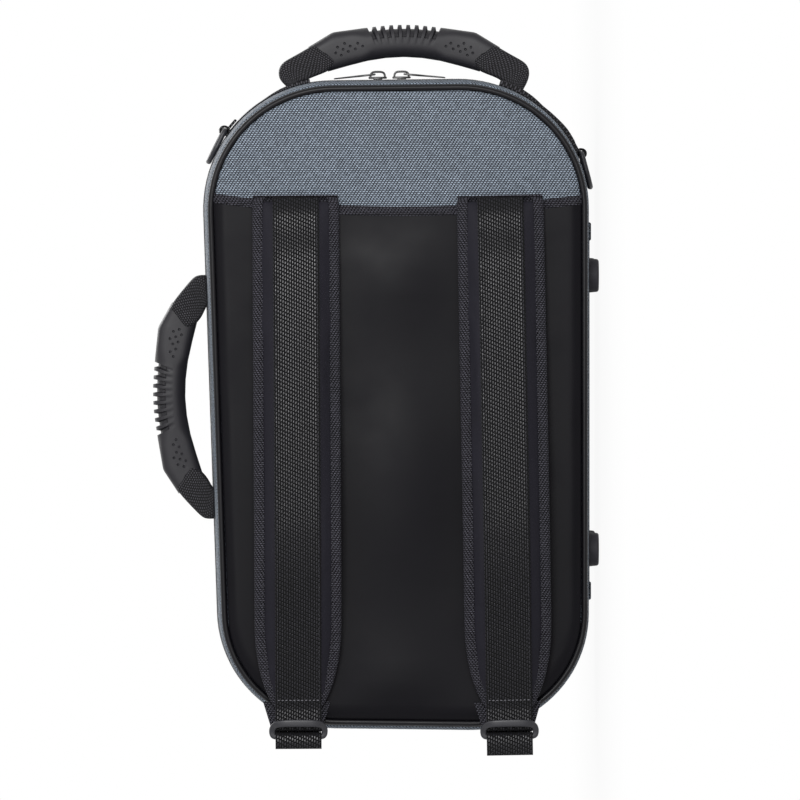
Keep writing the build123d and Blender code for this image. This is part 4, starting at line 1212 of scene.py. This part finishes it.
@dataclass
class Strap:
    """One shoulder strap, from its sewn fold to the ladder lock.

    Attributes:
        label: Which of the two straps this is.
        z: Height of its fold's middle.
        lean: How far it leans, in degrees.
        flap: How far the running end hangs below the pad.
        fold_x: Where its fold is.
        end_x: Where its pad ends.
        seat: Distance from mid-depth to the inner face at the fold.
        standoff: How far its knee stands off the sleeve.
        thickness: Thickness of the pad's middle.
        edge: Thickness of its bound edge.
        half_width: Half its width.
        tape: Width of the binding.
        webbing: Width of the webbing.
        over: How far its rounded head reaches over the fold.
        head: Length over which the head rounds off.
        raised: How far the webbing's middle lies over the pad.
        bar_drops: Distance from the pad's end to the lock's middle bar and to its lower bar.
        bar_radii: Radius of those two bars.
        bar_out: Distance of the middle bar from mid-depth.
        slack: Gap between a bar and the webbing round it.
        lock_drop: Distance from the pad's end to the line that the contour is drawn from.
        stations: Shares of length, of stand-off, of thickness and of half width.
        contour: The lock's right half: outer and inner edge, across and along, and distance out.
    """

    label: str
    z: float
    lean: float
    flap: float
    fold_x: float = 132.5
    end_x: float = -197.0
    seat: float = 84.7
    standoff: float = 15.0
    thickness: float = 9.0
    edge: float = 4.4
    half_width: float = 28.5
    tape: float = 7.0
    webbing: float = 30.0
    over: float = 3.4
    head: float = 12.0
    raised: float = 0.75
    bar_drops: Pair = (12.2, 19.3)
    bar_radii: Pair = (1.2, 1.6)
    bar_out: float = 90.09
    slack: float = 0.3
    lock_drop: float = 8.2
    stations: tuple[tuple[float, float, float, float], ...] = (
        (0.0, 0.0, 0.55, 1.0), (0.05, 0.05, 0.75, 1.0), (0.12, 0.2, 1.0, 1.0), (0.4, 0.68, 1.0, 1.0),
        (0.6, 0.95, 1.0, 1.0), (0.67, 1.0, 1.0, 1.0), (0.74, 0.93, 1.0, 1.0), (0.86, 0.5, 1.0, 0.99),
        (0.92, 0.27, 0.9, 0.9), (0.965, 0.16, 0.7, 0.75), (1.0, 0.09, 0.49, 0.56),
    )
    contour: tuple[tuple[Pair, Pair, float], ...] = (
        ((0.0, 0.7), (0.0, -4.2), 95.9), ((6.0, 0.65), (5.5, -4.2), 95.9),
        ((11.0, 0.35), (10.5, -4.3), 95.6), ((14.3, -0.2), (13.3, -4.6), 94.7),
        ((16.6, -1.3), (14.5, -5.1), 93.2), ((18.2, -3.0), (15.0, -5.9), 91.7),
        ((19.1, -5.2), (15.1, -6.9), 90.6), ((19.2, -7.6), (15.1, -7.8), 90.1),
        ((18.8, -9.8), (15.1, -8.5), 90.1), ((17.8, -11.4), (14.9, -9.2), 90.1),
        ((16.0, -12.4), (14.2, -9.5), 90.1), ((12.0, -12.6), (11.5, -9.6), 90.1),
        ((0.0, -12.6), (0.0, -9.6), 90.1),
    )

    def share(self, along: float, column: int) -> float:
        """Reads one column of the stations smoothly at a share of the length."""
        table = self.stations
        index = next((i for i in range(len(table) - 1) if along <= table[i + 1][0]), len(table) - 2)
        x0, x1 = table[index][0], table[index + 1][0]
        y0, y1 = table[index][column], table[index + 1][column]
        slopes = []
        for i in (index, index + 1):
            before, after = table[max(0, i - 1)], table[min(len(table) - 1, i + 1)]
            slopes.append((after[column] - before[column]) / (after[0] - before[0]))
        width = x1 - x0
        t = (along - x0) / width
        from_start = (y0 * (1 + 2 * t) + slopes[0] * width * t) * (1 - t) ** 2
        return from_start + (y1 * (3 - 2 * t) + slopes[1] * width * (t - 1)) * t * t

    def station(self, along: float) -> tuple[float, float, float, float]:
        """X, inner face, thickness and half width at a share of the length."""
        x = self.fold_x + (self.end_x - self.fold_x) * along
        along = max(0.0, along)
        inner = self.seat + self.standoff * self.share(along, 1)
        thick = self.thickness * self.share(along, 2)
        half = self.half_width * min(1.0, self.share(along, 3))
        below = self.fold_x + self.over - x
        top = inner + thick * math.sqrt(1 - max(0.0, 1 - below / self.head) ** 2)
        past = max(0.0, x - self.fold_x) / self.over
        inner += thick / 2 * (1 - math.sqrt(1 - min(0.999, past) ** 2)) * 0.8
        half -= 2.2 * max(0.0, 1 - below / 4.0) ** 2
        return x, inner, max(0.5, top - inner), half

    def stops(self, count: int) -> list[float]:
        """Shares of the length at which sections lie, closer together round the head."""
        length = self.fold_x - self.end_x
        shares = (0.012, 0.05, 0.12, 0.22, 0.36, 0.55, 0.78)
        head = [(self.head * reach - self.over) / length for reach in shares]
        return head + [head[-1] + (1 - head[-1]) * step / count for step in range(1, count + 1)]

    def put(self, x: float, across: float, out: float) -> Vector:
        """Turns a place on the strap into one on the case."""
        turn = math.radians(self.lean)
        reach = x - self.fold_x
        x_case = self.fold_x + reach * math.cos(turn) - across * math.sin(turn)
        return Vector((x_case, -out, self.z + reach * math.sin(turn) + across * math.cos(turn)))

    def pad(self) -> Piece:
        """Makes the padded middle: full along the webbing, drawn in where it is bound."""
        rows = []
        for along in self.stops(60):
            x, inner, thick, half = self.station(along)
            core = half - 1.2
            band = min(self.webbing / 2 + 0.6, core - 3.5)
            edge = max(0.1, min(self.edge, thick) - 0.5)
            bound = half - self.tape
            top = inner + thick
            section = []
            for share, height in ((0.0, 0.08), (0.25, 0.0), (0.5, 0.0), (0.75, 0.0), (1.0, 0.08)):
                section.append((-core + 2 * core * share, inner + height))
            slope = (bound - 1.2, inner + edge + (thick - edge) * 0.45)
            right = [(core, inner + edge * 0.5), (bound + 0.8, inner + edge), slope]
            right += [(band + 1.5, top - 0.25), (band, top - 0.35)]
            section += right + [(band * share, top - 0.3) for share in (0.5, 0.0, -0.5)]
            section += [(-p, q) for p, q in reversed(right)]
            rows.append([self.put(x, p, q) for p, q in section])
        piece = lay_grid(f"strap_pad_{self.label}_foam", rows)
        inflate(piece, 3.0, 4.0, 0.7, 0.2)
        apply_modifier(piece, "SMOOTH", factor=0.5, iterations=2)
        apply_modifier(piece, "SUBSURF", levels=1)
        settle(piece, angle=60)
        return piece

    def binding(self) -> Piece:
        """Makes the folded tape round both long edges."""
        parts = []
        for side in (-1, 1):
            rows = []
            for step, along in enumerate(self.stops(80)):
                x, inner, thick, half = self.station(along)
                e = min(self.edge, thick)
                w = self.tape
                ripple = 0.12 * math.sin(step * 1.9 + side)
                section = [(w, e - 0.2), (w - 0.2, e + 0.45), (w - 1.6, e + 0.25 + ripple)]
                section += [(w * 0.45, e + 0.4), (1.1, e + 0.05 + ripple), (0.1, e * 0.72)]
                section += [(0.0, e * 0.45), (0.3, e * 0.16), (1.4, 0.02), (w, 0.05)]
                rows.append([self.put(x, side * (half - p), inner + q) for p, q in section])
            parts.append(lay_grid("edge", rows))
        piece = join(f"strap_binding_{self.label}_tape", parts)
        apply_modifier(piece, "SUBSURF", levels=1)
        settle(piece, merge=0.005, angle=60)
        return piece

    def seam(self, side: int, run: float, bound: bool) -> list[Vector]:
        """A line of stitches along one side.

        Args:
            side: -1 on the lower edge and 1 on the upper.
            run: Share of the strap's length that it covers.
            bound: True on the binding, False on the webbing.

        Returns:
            The line, in millimetres.
        """
        line = []
        for step in range(121):
            x, inner, thick, half = self.station(0.012 + run * step / 120)
            if bound:
                across, out = half - self.tape + 1.6, inner + min(self.edge, thick) + 0.42
            else:
                across, out = self.webbing / 2 - 1.6, inner + thick + 1.5
            line.append(self.put(x, side * across, out))
        return line

    def turn(self) -> tuple[float, float, float]:
        """Where the webbing turns round the lock's middle bar.

        Returns:
            X and distance out of the turn's middle, and its radius.
        """
        x, inner, thick, half = self.station(1.0)
        radius = self.bar_radii[0] + self.slack + self.raised
        return x - self.bar_drops[0], inner + thick + self.raised - radius / 2, radius

    def band(self) -> Piece:
        """Makes the webbing down the middle and round the lock's middle bar."""
        path = []
        for along in self.stops(120):
            x, inner, thick, half = self.station(along)
            path.append((x, inner + thick + self.raised))
        last_x, held = path[-1]
        mid_x, mid_out, loop = self.turn()
        for step in range(1, 9):
            share = step / 8
            path.append((last_x + (mid_x - last_x) * share, held * (1 - share) + (mid_out + loop) * share))
        for step in range(1, 12):
            angle = math.pi * step / 12
            path.append((mid_x - loop * math.sin(angle), mid_out + loop * math.cos(angle)))
        path += [(mid_x, mid_out - loop), (last_x + 0.5, mid_out - loop)]
        return self.ribbon(f"strap_webbing_{self.label}_band", path)

    def ribbon(self, name: str, path: Sequence[Pair]) -> Piece:
        """Makes webbing along a line.

        Args:
            name: The piece's name.
            path: X and the distance out of each place.

        Returns:
            The webbing, with slightly raised selvedges.
        """
        half = self.webbing / 2
        right = [(half - 0.3, -0.72), (half, -0.5), (half, 0.55), (half - 0.35, 0.78), (half - 2.2, 0.66)]
        right.append((half / 2, 0.7))
        left = [(-p, q) for p, q in reversed(right)]
        section = left[-2:] + right + [(0.0, 0.72)] + left[:-2]
        rows = []
        flip = 0.0
        for index, (x, out) in enumerate(path):
            before, after = path[max(0, index - 1)], path[min(len(path) - 1, index + 1)]
            run = Vector((after[0] - before[0], after[1] - before[1])).normalized()
            flip = flip or (-1.0 if run.x > 0 else 1.0)
            rows.append([self.put(x + flip * run.y * q, p, out - flip * run.x * q) for p, q in section])
        return lay_grid(name, rows)

    def flap_webbing(self) -> Piece:
        """Makes the running end over the lock's lower bar, with its folded hem."""
        last_x = self.station(1.0)[0]
        out = self.turn()[1]
        low_x = last_x - self.bar_drops[1]
        turn = self.bar_radii[1] + self.slack + self.raised
        end = last_x - self.flap
        path = [(low_x + turn, out - turn)]
        for step in range(9):
            angle = math.pi / 2 * step / 8
            path.append((low_x + turn * math.cos(angle), out + turn * math.sin(angle)))
        for step in range(1, 9):
            share = step / 8
            path.append((low_x - (low_x - end) * share, out + turn + 0.5 * math.sin(math.pi * share)))
        flap = self.ribbon(f"strap_flap_{self.label}_end", path)
        edge = self.webbing / 2 - 0.2
        hem_low = self.put(end + 0.2, -edge, out + turn - 1.6)
        hem_high = self.put(end + min(6.0, low_x - 1.8 - end), edge, out + turn - 0.6)
        pairs = list(zip(hem_low, hem_high))
        hem = rounded_block("hem", [min(pair) for pair in pairs], [max(pair) for pair in pairs], 0.4)
        return join(flap.name, [flap, hem])

    def fold(self) -> Piece:
        """Makes the sewn fold that cradles the strap's head."""
        axis = self.seat + self.thickness * self.stations[0][2] / 2
        section = [(129.8, 80.0), (130.2, 82.9)]
        for radius, first, last, count in ((3.6, 90, 0, 8), (4.5, 0, 72, 6)):
            for step in range(count + 1):
                angle = math.radians(first + (last - first) * step / count)
                section.append((self.fold_x + radius * math.cos(angle), axis - radius * math.sin(angle)))
        section += [(135.2, 81.6), (136.2, 80.0)]
        ends = (-27.6, -27.2, -20.0, -10.0, 0.0, 10.0, 20.0, 27.2, 27.6)
        return lay_grid(f"fold_{self.label}", [[self.put(x, w, out) for x, out in section] for w in ends])

    def ladder_lock(self) -> Piece:
        """Makes the moulded lock: a rounded frame whose top arches over the webbing, and a bar."""
        top_x = self.end_x - self.lock_drop
        left = [((-a, b), (-c, d), e) for (a, b), (c, d), e in reversed(self.contour[1:-1])]
        rows = []
        for outer, inner, out in (*self.contour, *left, self.contour[0]):
            a, b = Vector(outer), Vector(inner)
            section = rounded_section((a - b).length, 2.9, 0.95, 3)
            middle, up = (a + b) / 2, (a - b).normalized()
            rows.append(
                [self.put(top_x + middle.y + up.y * p, middle.x + up.x * p, out + q) for p, q in section]
            )
        frame = lay_grid("frame", rows)
        apply_modifier(frame, "SUBSURF", levels=1)
        mid_x = self.end_x - self.bar_drops[0]
        ring = round_section(self.bar_radii[0], 12)
        bar = [[self.put(mid_x + p, w, self.bar_out + q) for p, q in ring] for w in (-17.0, -6.0, 6.0, 17.0)]
        piece = join(f"ladder_lock_{self.label}_frame", [frame, lay_grid("bar", bar)])
        settle(piece, merge=0.002, angle=60)
        return piece

    def build(self) -> None:
        """Makes and hands in the strap."""
        label = self.label
        body, lock = f"strap_{label}", f"lock_{label}"
        pad = hand_in(self.pad(), KNIT, body, "strap_cover", f"strap_pad_{label}")
        hand_in(self.binding(), GROSGRAIN, body, "black_binding", f"strap_binding_{label}")
        hand_in(self.band(), WEBBING, body, "black_webbing", f"strap_webbing_{label}")
        for side, edge in ((-1, "lower"), (1, "upper")):
            for cloth, run in (("binding", 0.985), ("webbing", 0.978)):
                line = self.seam(side, run, cloth == "binding")
                hand_in(sew(f"strap_{label}_{cloth}_seam_{edge}", line), THREAD, body, f"black_{cloth}")
        x, inner, thick, half = self.station(0.985)
        tack = [self.put(x, step, inner + thick + 1.55) for step in (-14.0, 14.0)]
        hand_in(sew(f"strap_{label}_end_tack", tack, 2.6, 1.9, 0.35), PALE_THREAD, body, "black_webbing")
        hand_in(self.ladder_lock(), ACETAL, lock, "buckle_plastic", f"ladder_lock_{label}")
        hand_in(self.flap_webbing(), WEBBING, lock, "black_webbing", f"strap_flap_{label}")


# Handles


class Side(Enum):
    """Which of the two handles a handle is."""

    TOP = "top_handle"
    LONG = "side_handle"


@dataclass
class Handle:
    """A moulded grip on two webbing arms.

    Attributes:
        side: Which handle this is.
        foot: Middle of its hinge line.
        along: Direction along that line.
        arm: Outer and inner line of an arm, from inside the grip to where it is sewn on.
        sink: How much deeper than drawn the lower and the upper arm are sewn on.
        width: Width of the grip.
        arm_width: Width of the webbing.
        groove_pitch: Distance between the grooves over the crown.
        groove_width: Width of a groove.
        groove_depth: Depth of a groove.
        grooves: How many grooves there are.
        crown: The grip's outer line, from its middle to its end.
        arch: The grip's inner line.
        notch: How far the grip reaches, by share of its height.
        dimples: Small dimples in each face.
    """

    side: Side
    foot: Vector
    along: Vector
    arm: tuple[tuple[Pair, Pair], ...]
    sink: Pair
    width: float = 25.0
    arm_width: float = 27.0
    groove_pitch: float = 5.6
    groove_width: float = 2.9
    groove_depth: float = 2.6
    grooves: int = 9
    crown: tuple[Pair, ...] = (
        (0.0, 35.2), (9.0, 34.9), (17.0, 34.1), (24.5, 33.2), (26.5, 33.0), (45.5, 30.4), (47.6, 29.7),
        (63.0, 20.3),
    )
    arch: tuple[Pair, ...] = ((0.0, 14.1), (12.0, 13.4), (24.0, 11.5), (36.5, 8.3), (49.4, 4.6), (63.0, 0.8))
    notch: tuple[Pair, ...] = ((0.0, 49.6), (0.1, 48.9), (0.37, 47.2), (1.0, 62.8))
    dimples: tuple[Pair, ...] = (
        (43.6, 20.5), (39.0, 23.0), (30.4, 23.1), (40.0, 19.1), (35.4, 21.2), (27.2, 21.2),
        (32.0, 19.4), (36.6, 17.7), (44.8, 16.7), (41.2, 15.3),
    )

    def put(self, along: float, out: float, depth: float) -> Vector:
        """Turns a place on the handle into one on the case."""
        outward = Vector((self.along.z, 0, -self.along.x))
        if self.side is Side.LONG:
            outward.negate()
        return self.foot + self.along * along + outward * out + DEEP * depth

    def fullness(self, along: float) -> float:
        """How square the grip's section is, from round in the middle to square at its shoulders."""
        share = min(1.0, max(0.0, (abs(along) - 22.0) / 10.0))
        return 2.9 + 1.9 * share * share * (3 - 2 * share)

    def section(self, stop: float, groove: float) -> list[Vector]:
        """Places round the grip at one stop from -1 to 1, cut in by a groove."""
        ring = []
        power = 2 / self.fullness(stop * 55.0)
        for step in range(48):
            angle = 2 * math.pi * step / 48
            up = math.copysign(abs(math.sin(angle)) ** power, math.sin(angle))
            side = math.copysign(abs(math.cos(angle)) ** power, math.cos(angle))
            share = (up + 1) / 2
            along = stop * read(self.notch, share)
            low, high = read(self.arch, abs(along)), read(self.crown, abs(along))
            cut = groove * min(1.0, max(0.0, (share - 0.6) / 0.1))
            middle = (low + high) / 2
            reach = (high - low) / 2 - cut
            out = middle + reach * up if cut else low + (high - low) * share
            ring.append(self.put(along, out, side * (self.width / 2 - cut * 0.8)))
        return ring

    def stops(self) -> list[Pair]:
        """Where the grip's sections lie, from -1 to 1, and how deep each is cut."""
        reach = self.notch[-1][1]
        half = self.groove_width / 2
        profile = ((-half - 0.25, 0.0), (-half + 0.2, 1.0), (half - 0.2, 1.0), (half + 0.25, 0.0))
        stops = []
        for index in range(self.grooves):
            middle = (index - (self.grooves - 1) / 2) * self.groove_pitch
            for shift, cut in (*profile, (self.groove_pitch / 2, 0.0)):
                stops.append(((middle + shift) / reach, cut * self.groove_depth))
        edge = stops[-1][0]
        side = [edge + (1 - edge) * step / 22 for step in range(1, 23)]
        low_end = [(-stop, 0.0) for stop in reversed(side)]
        return [*low_end, (-edge, 0.0), *stops, *((stop, 0.0) for stop in side)]

    def grip(self) -> Piece:
        """Makes the rubber grip with its grooved crown, notched ends and dimples."""
        rows = [self.section(stop, groove) for stop, groove in self.stops()]
        piece = lay_grid(f"{self.side.value}_rubber", rows)
        deselect()
        bpy.ops.mesh.primitive_ico_sphere_add(subdivisions=2, radius=0.95 * MM)
        ball = bpy.context.object
        places = []
        for along, out in self.dimples:
            low, high = read(self.arch, along), read(self.crown, along)
            up = abs(2 * (out - low) / (high - low) - 1)
            power = self.fullness(along)
            depth = self.width / 2 * (1 - up**power) ** (1 / power)
            for end in (-1, 1):
                for face in (-1, 1):
                    places.append(Matrix.Translation(at(*self.put(end * along, out, face * (depth + 0.1)))))
        balls = scatter("dimples", ball, places)
        apply_modifier(piece, "BOOLEAN", operation="DIFFERENCE", object=balls, solver="EXACT")
        bpy.data.objects.remove(balls)
        pick(piece)
        bpy.ops.object.shade_smooth_by_angle(angle=math.radians(38))
        return piece

    def arms(self) -> Piece:
        """Makes the two webbing arms, from inside the grip down to where they are sewn on."""
        parts = []
        for end, sink in zip((-1, 1), self.sink):
            rows = []
            for line in self.arm:
                a, b = [Vector((p, q * sink if q < 0 else q)) for p, q in line]
                height = (a - b).length
                section = rounded_section(height, self.arm_width, min(2.6, height / 2.2), 3)
                middle, up = (a + b) / 2, (a - b).normalized()
                rows.append(
                    [self.put(end * (middle.x + up.x * p), middle.y + up.y * p, q) for p, q in section]
                )
            parts.append(lay_grid("arm", rows))
            apply_modifier(parts[-1], "SUBSURF", levels=2)
        return join(f"{self.side.value}_arms", parts)

    def build(self) -> None:
        """Makes and hands in the handle."""
        name = self.side.value
        hand_in(self.grip(), RUBBER, name, "grip_rubber", f"{name}_grip")
        bend = Bend("base_half", name, self.put(0, -1.0, 0), self.put(0, 7.0, 0))
        hand_in(self.arms(), HANDLE_WEBBING, bend, "black_webbing", f"{name}_webbing", f"{name}_anchors")


# Outer and inner line of each handle's arms, from inside the grip to the seam on the gusset
IN_GRIP = (((58.0, 22.6), (44.5, 13.5)), ((61.5, 20.7), (46.0, 9.5)))
TOP_ARM = (
    *IN_GRIP,
    ((66.0, 18.0), (48.0, 6.2)), ((70.2, 15.6), (50.5, 4.5)), ((74.6, 13.2), (54.0, 3.0)),
    ((78.8, 10.8), (57.5, 1.7)), ((81.3, 7.7), (60.5, 0.5)), ((82.1, 4.0), (63.0, -0.7)),
    ((81.6, 0.3), (65.5, -1.8)), ((80.0, -2.6), (68.0, -2.7)), ((78.2, -4.9), (69.8, -3.8)),
    ((76.9, -6.6), (70.3, -5.3)), ((76.4, -8.2), (70.2, -7.2)),
)
SIDE_ARM = (
    *IN_GRIP,
    ((65.5, 17.6), (48.0, 5.6)), ((69.5, 14.2), (50.5, 3.2)), ((73.5, 10.6), (53.0, 1.4)),
    ((77.0, 7.4), (55.5, 0.1)), ((79.3, 4.6), (57.5, -0.9)), ((79.8, 1.6), (58.6, -1.6)),
    ((79.8, -1.2), (59.2, -2.2)), ((79.7, -2.8), (59.4, -3.0)),
)


# Trim


@dataclass
class Trim:
    """Webbing, tapes, tabs and feet that are sewn or screwed to the body.

    Attributes:
        band_width: Width of the webbing round the top corners.
        band_start: Distance from the top handle's middle at which it starts.
        limits: Where it ends on the lower and on the upper corner, in degrees from upright.
        lower_rise: How far it stands off the lower corner, where it arches twice, by share of its length.
        upper_rise: The same on the upper corner.
    """

    band_width: float = 30.0
    band_start: float = 61.0
    limits: Pair = (24.0, 36.0)
    lower_rise: tuple[Pair, ...] = (
        (0.0, 4.2), (0.15, 4.3), (0.32, 3.4), (0.45, 2.3), (0.6, 2.8), (0.75, 3.6), (0.88, 3.3),
        (1.0, 1.6),
    )
    upper_rise: tuple[Pair, ...] = ((0.0, 2.6), (0.3, 1.9), (0.5, 0.8), (1.0, 0.8))

    def band(self) -> Piece:
        """Makes the webbing round both top corners, from a handle's arm to a ring."""
        strips = []
        for side, limit, rise in zip((-1, 1), self.limits, (self.lower_rise, self.upper_rise)):
            path = []
            for place, out in OUTLINE.line(0.0, arc_steps=48):
                angle = math.degrees(math.atan2(out.x, abs(out.y)))
                past = abs(place.y - HANDLE_Z) > self.band_start
                if out.x > 0 and out.y * side > 0 and angle > limit and past:
                    path.append((Vector((place.x, HANDLE_Y, place.y)), Vector((out.x, 0, out.y))))
            path.sort(key=lambda stop: abs(stop[0].z - HANDLE_Z))
            lengths = running_lengths([place for place, outward in path])
            rows = []
            for (place, outward), length in zip(path, lengths):
                height = read(rise, length / lengths[-1])
                section = rounded_section(self.band_width, height, min(0.6, height / 2.5), 2)
                rows.append([place + DEEP * p + outward * (q + height / 2) for p, q in section])
            strips.append(lay_grid("strip", rows))
        return join("top_band_webbing", strips)

    def build(self, nodes: dict[str, Piece], straps: Sequence[Strap]) -> None:
        """Makes and hands in the trim.

        Args:
            nodes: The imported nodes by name.
            straps: The shoulder straps, for their folds.
        """
        folds = join("strap_folds_cloth", [strap.fold() for strap in straps])
        hand_in(folds, GROSGRAIN_FLAT, "base_half", "black_binding", "strap_folds")
        hand_in(self.band(), HANDLE_WEBBING, "base_half", "black_webbing", "top_band")
        copies = (
            ("ring_loops", 0.5, WEBBING_FLAT, "black_webbing"),
            ("tail_anchors", 0.6, GROSGRAIN_FLAT, "black_binding"),
            ("strap_tails", 0.4, WEBBING_FLAT, "black_webbing"),
            ("zip_end_tabs", 0.4, NYLON_FLAT, "grey_nylon"),
            ("hinge_tape", 0.2, NYLON_FLAT, "grey_nylon"),
            ("hinge_patch", 0.2, WEBBING_FLAT, "black_binding"),
            ("lid_hinge_strip", 0.3, NYLON_FLAT, "grey_nylon"),
            ("base_lining", 0.8, PLUSH, "plush"),
            ("lid_lining", 0.8, PLUSH, "plush"),
            ("instrument_insert", 1.5, FLOCK, "soft_foam"),
            ("mouthpiece_holder", 1.2, FLOCK, "soft_foam"),
            ("hold_strap_lower", 0.4, WEBBING_FLAT, "black_webbing"),
            ("hold_strap_upper", 0.4, WEBBING_FLAT, "black_webbing"),
            ("hold_strap_patch", 0.2, HOOKS, "hook_and_loop"),
        )
        for node, radius, finish, slot in copies:
            body = "lid" if node.startswith("lid") else "base_half"
            hand_in(soft_copy(f"{node}_cloth", nodes[node], radius), finish, body, slot, node)
        pad = soft_copy("lid_pad_foam", nodes["lid_pad"], 0)
        inflate(pad, 5.0, 4.0, 2.0, 0.0)
        apply_modifier(pad, "SUBSURF", levels=1)
        settle(pad, angle=60)
        hand_in(pad, FLOCK, "lid", "soft_foam", "lid_pad")
        kept = {"d_ring_upper": ACETAL, "d_ring_lower": ACETAL}
        for side, half, body in HALVES:
            kept |= {f"{half}_shell": FOAM_BOARD, f"{half}_feet": FOOT}
            kept |= {f"{half}_foot_screws": ZINC, f"{half}_foot_nuts": ZINC}
        for node, finish in kept.items():
            if not nodes[node].material_slots:
                nodes[node].data.materials.append(finish.material())
            for place in nodes[node].material_slots:
                place.material = finish.material()
            log.info("%s keeps its packed mesh", node)


# Room, light and camera


@dataclass
class Studio:
    """Pale floor, soft light and the photograph's camera.

    Attributes:
        aim: Where the camera looks.
        distance: How far it stands off, in metres.
        field: Width of what it sees there, in millimetres.
        raised: Its height over the aim, in degrees.
        forward: Its shift towards the top handle, in degrees.
        lit: Height of the place that the lamps face, in millimetres.
        floor_size: Length of the floor's sides, in metres.
        floor_gap: How far the floor lies under the feet, in metres.
    """

    aim: tuple[float, float, float] = (3.5, -80.0, 130.3)
    distance: float = 20.0
    field: float = 521.6
    raised: float = 1.04
    forward: float = 0.6
    lit: float = 130.0
    floor_size: float = 14.0
    floor_gap: float = 0.0002

    def camera(self) -> None:
        """Makes the camera, turned so that the top handle is up in its picture."""
        aim = at(*self.aim)
        back = Vector((math.sin(math.radians(self.forward)), -1.0, math.sin(math.radians(self.raised))))
        place = aim + back.normalized() * self.distance
        ahead = (aim - place).normalized()
        right = ahead.cross(Vector((1, 0, 0))).normalized()
        data = bpy.data.cameras.new("camera")
        camera = bpy.data.objects.new("camera", data)
        bpy.context.scene.collection.objects.link(camera)
        turned = Matrix((right, right.cross(ahead), -ahead)).transposed().to_4x4()
        camera.matrix_world = Matrix.Translation(place) @ turned
        data.sensor_width = 36.0
        data.lens = data.sensor_width * self.distance / (self.field * MM)
        data.clip_start = 0.1
        data.clip_end = 200.0
        bpy.context.scene.camera = camera

    def seen_white(self, tree: Tree) -> Socket:
        """Adds a value that is 1 for rays that show the background."""
        path = add(tree, "ShaderNodeLightPath").outputs
        either = calc(tree, "MAXIMUM", path["Is Camera Ray"], path["Is Glossy Ray"])
        return calc(tree, "MAXIMUM", either, path["Is Transmission Ray"])

    def floor(self) -> None:
        """Makes the pale floor, white where it is seen and soft grey in shadow."""
        deselect()
        bpy.ops.mesh.primitive_plane_add(size=self.floor_size, location=(0, 0, -self.floor_gap))
        floor = bpy.context.object
        floor.name = "floor"
        material = bpy.data.materials.new("pale floor")
        tree = emptied(material)
        matt = add(tree, "ShaderNodeBsdfDiffuse", {"Color": linear("#E8E8E8")})
        glow = add(tree, "ShaderNodeEmission", {"Strength": 1.0})
        place = add(tree, "ShaderNodeTexCoord").outputs["Object"]
        far = add(tree, "ShaderNodeVectorMath", {0: place}, operation="LENGTH").outputs["Value"]
        fade = ranged(tree, far, 0.2, 0.8, 0.93, 1.0)
        share = calc(tree, "MULTIPLY", self.seen_white(tree), fade)
        mixed = add(tree, "ShaderNodeMixShader", {0: share, 1: matt.outputs[0], 2: glow.outputs[0]})
        add(tree, "ShaderNodeOutputMaterial", {"Surface": mixed.outputs[0]})
        floor.data.materials.append(material)

    def world(self) -> None:
        """Makes the even light of the room, white where it is seen."""
        world = bpy.data.worlds.new("room")
        bpy.context.scene.world = world
        tree = emptied(world)
        strength = ranged(tree, self.seen_white(tree), 0.0, 1.0, 0.4, 1.0)
        sky = add(tree, "ShaderNodeBackground", {"Color": (1, 1, 1, 1), "Strength": strength})
        add(tree, "ShaderNodeOutputWorld", {"Surface": sky.outputs[0]})

    def lamp(self, name: str, place: tuple[float, float, float], size: float, power: float) -> None:
        """Adds a soft square lamp that faces the case."""
        data = bpy.data.lights.new(name, "AREA")
        data.size = size
        data.energy = power
        lamp = bpy.data.objects.new(name, data)
        bpy.context.scene.collection.objects.link(lamp)
        facing = (at(0, 0, self.lit) - Vector(place)).to_track_quat("-Z", "Y")
        lamp.matrix_world = Matrix.Translation(place) @ facing.to_matrix().to_4x4()

    def build(self) -> None:
        """Makes the whole room."""
        bpy.context.scene.view_settings.view_transform = "Standard"
        self.camera()
        self.floor()
        self.world()
        self.lamp("key", (0.72, -2.6, 0.42), 0.8, 40.0)
        self.lamp("fill", (0.9, -1.8, 1.9), 1.4, 12.0)
        self.lamp("back", (0.8, 1.8, 1.4), 1.4, 20.0)


def main() -> None:
    """Builds the case piece by piece and logs each piece's body and face count."""
    logging.basicConfig(level=logging.INFO, format="%(message)s")
    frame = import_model()
    Studio().build()
    Shell().build()
    Zip().build()
    Sleeve().build()
    straps = (Strap("upper", 198.5, 0.3, 26.6), Strap("lower", 65.1, 1.0, 30.9))
    for strap in straps:
        strap.build()
    upright = Vector((0, 0, 1))
    Handle(Side.TOP, Vector((213.08, HANDLE_Y, HANDLE_Z)), upright, TOP_ARM, (1.4, 0.8)).build()
    slope = Vector((OUTLINE.handle_side, 0, OUTLINE.top_end - OUTLINE.bottom_end)).normalized()
    Handle(Side.LONG, Vector((4.914, HANDLE_Y, 255.421)), slope, SIDE_ARM, (1.0, 1.0)).build()
    Trim().build(frame["nodes"], straps)


if __name__ == "__main__":
    main()
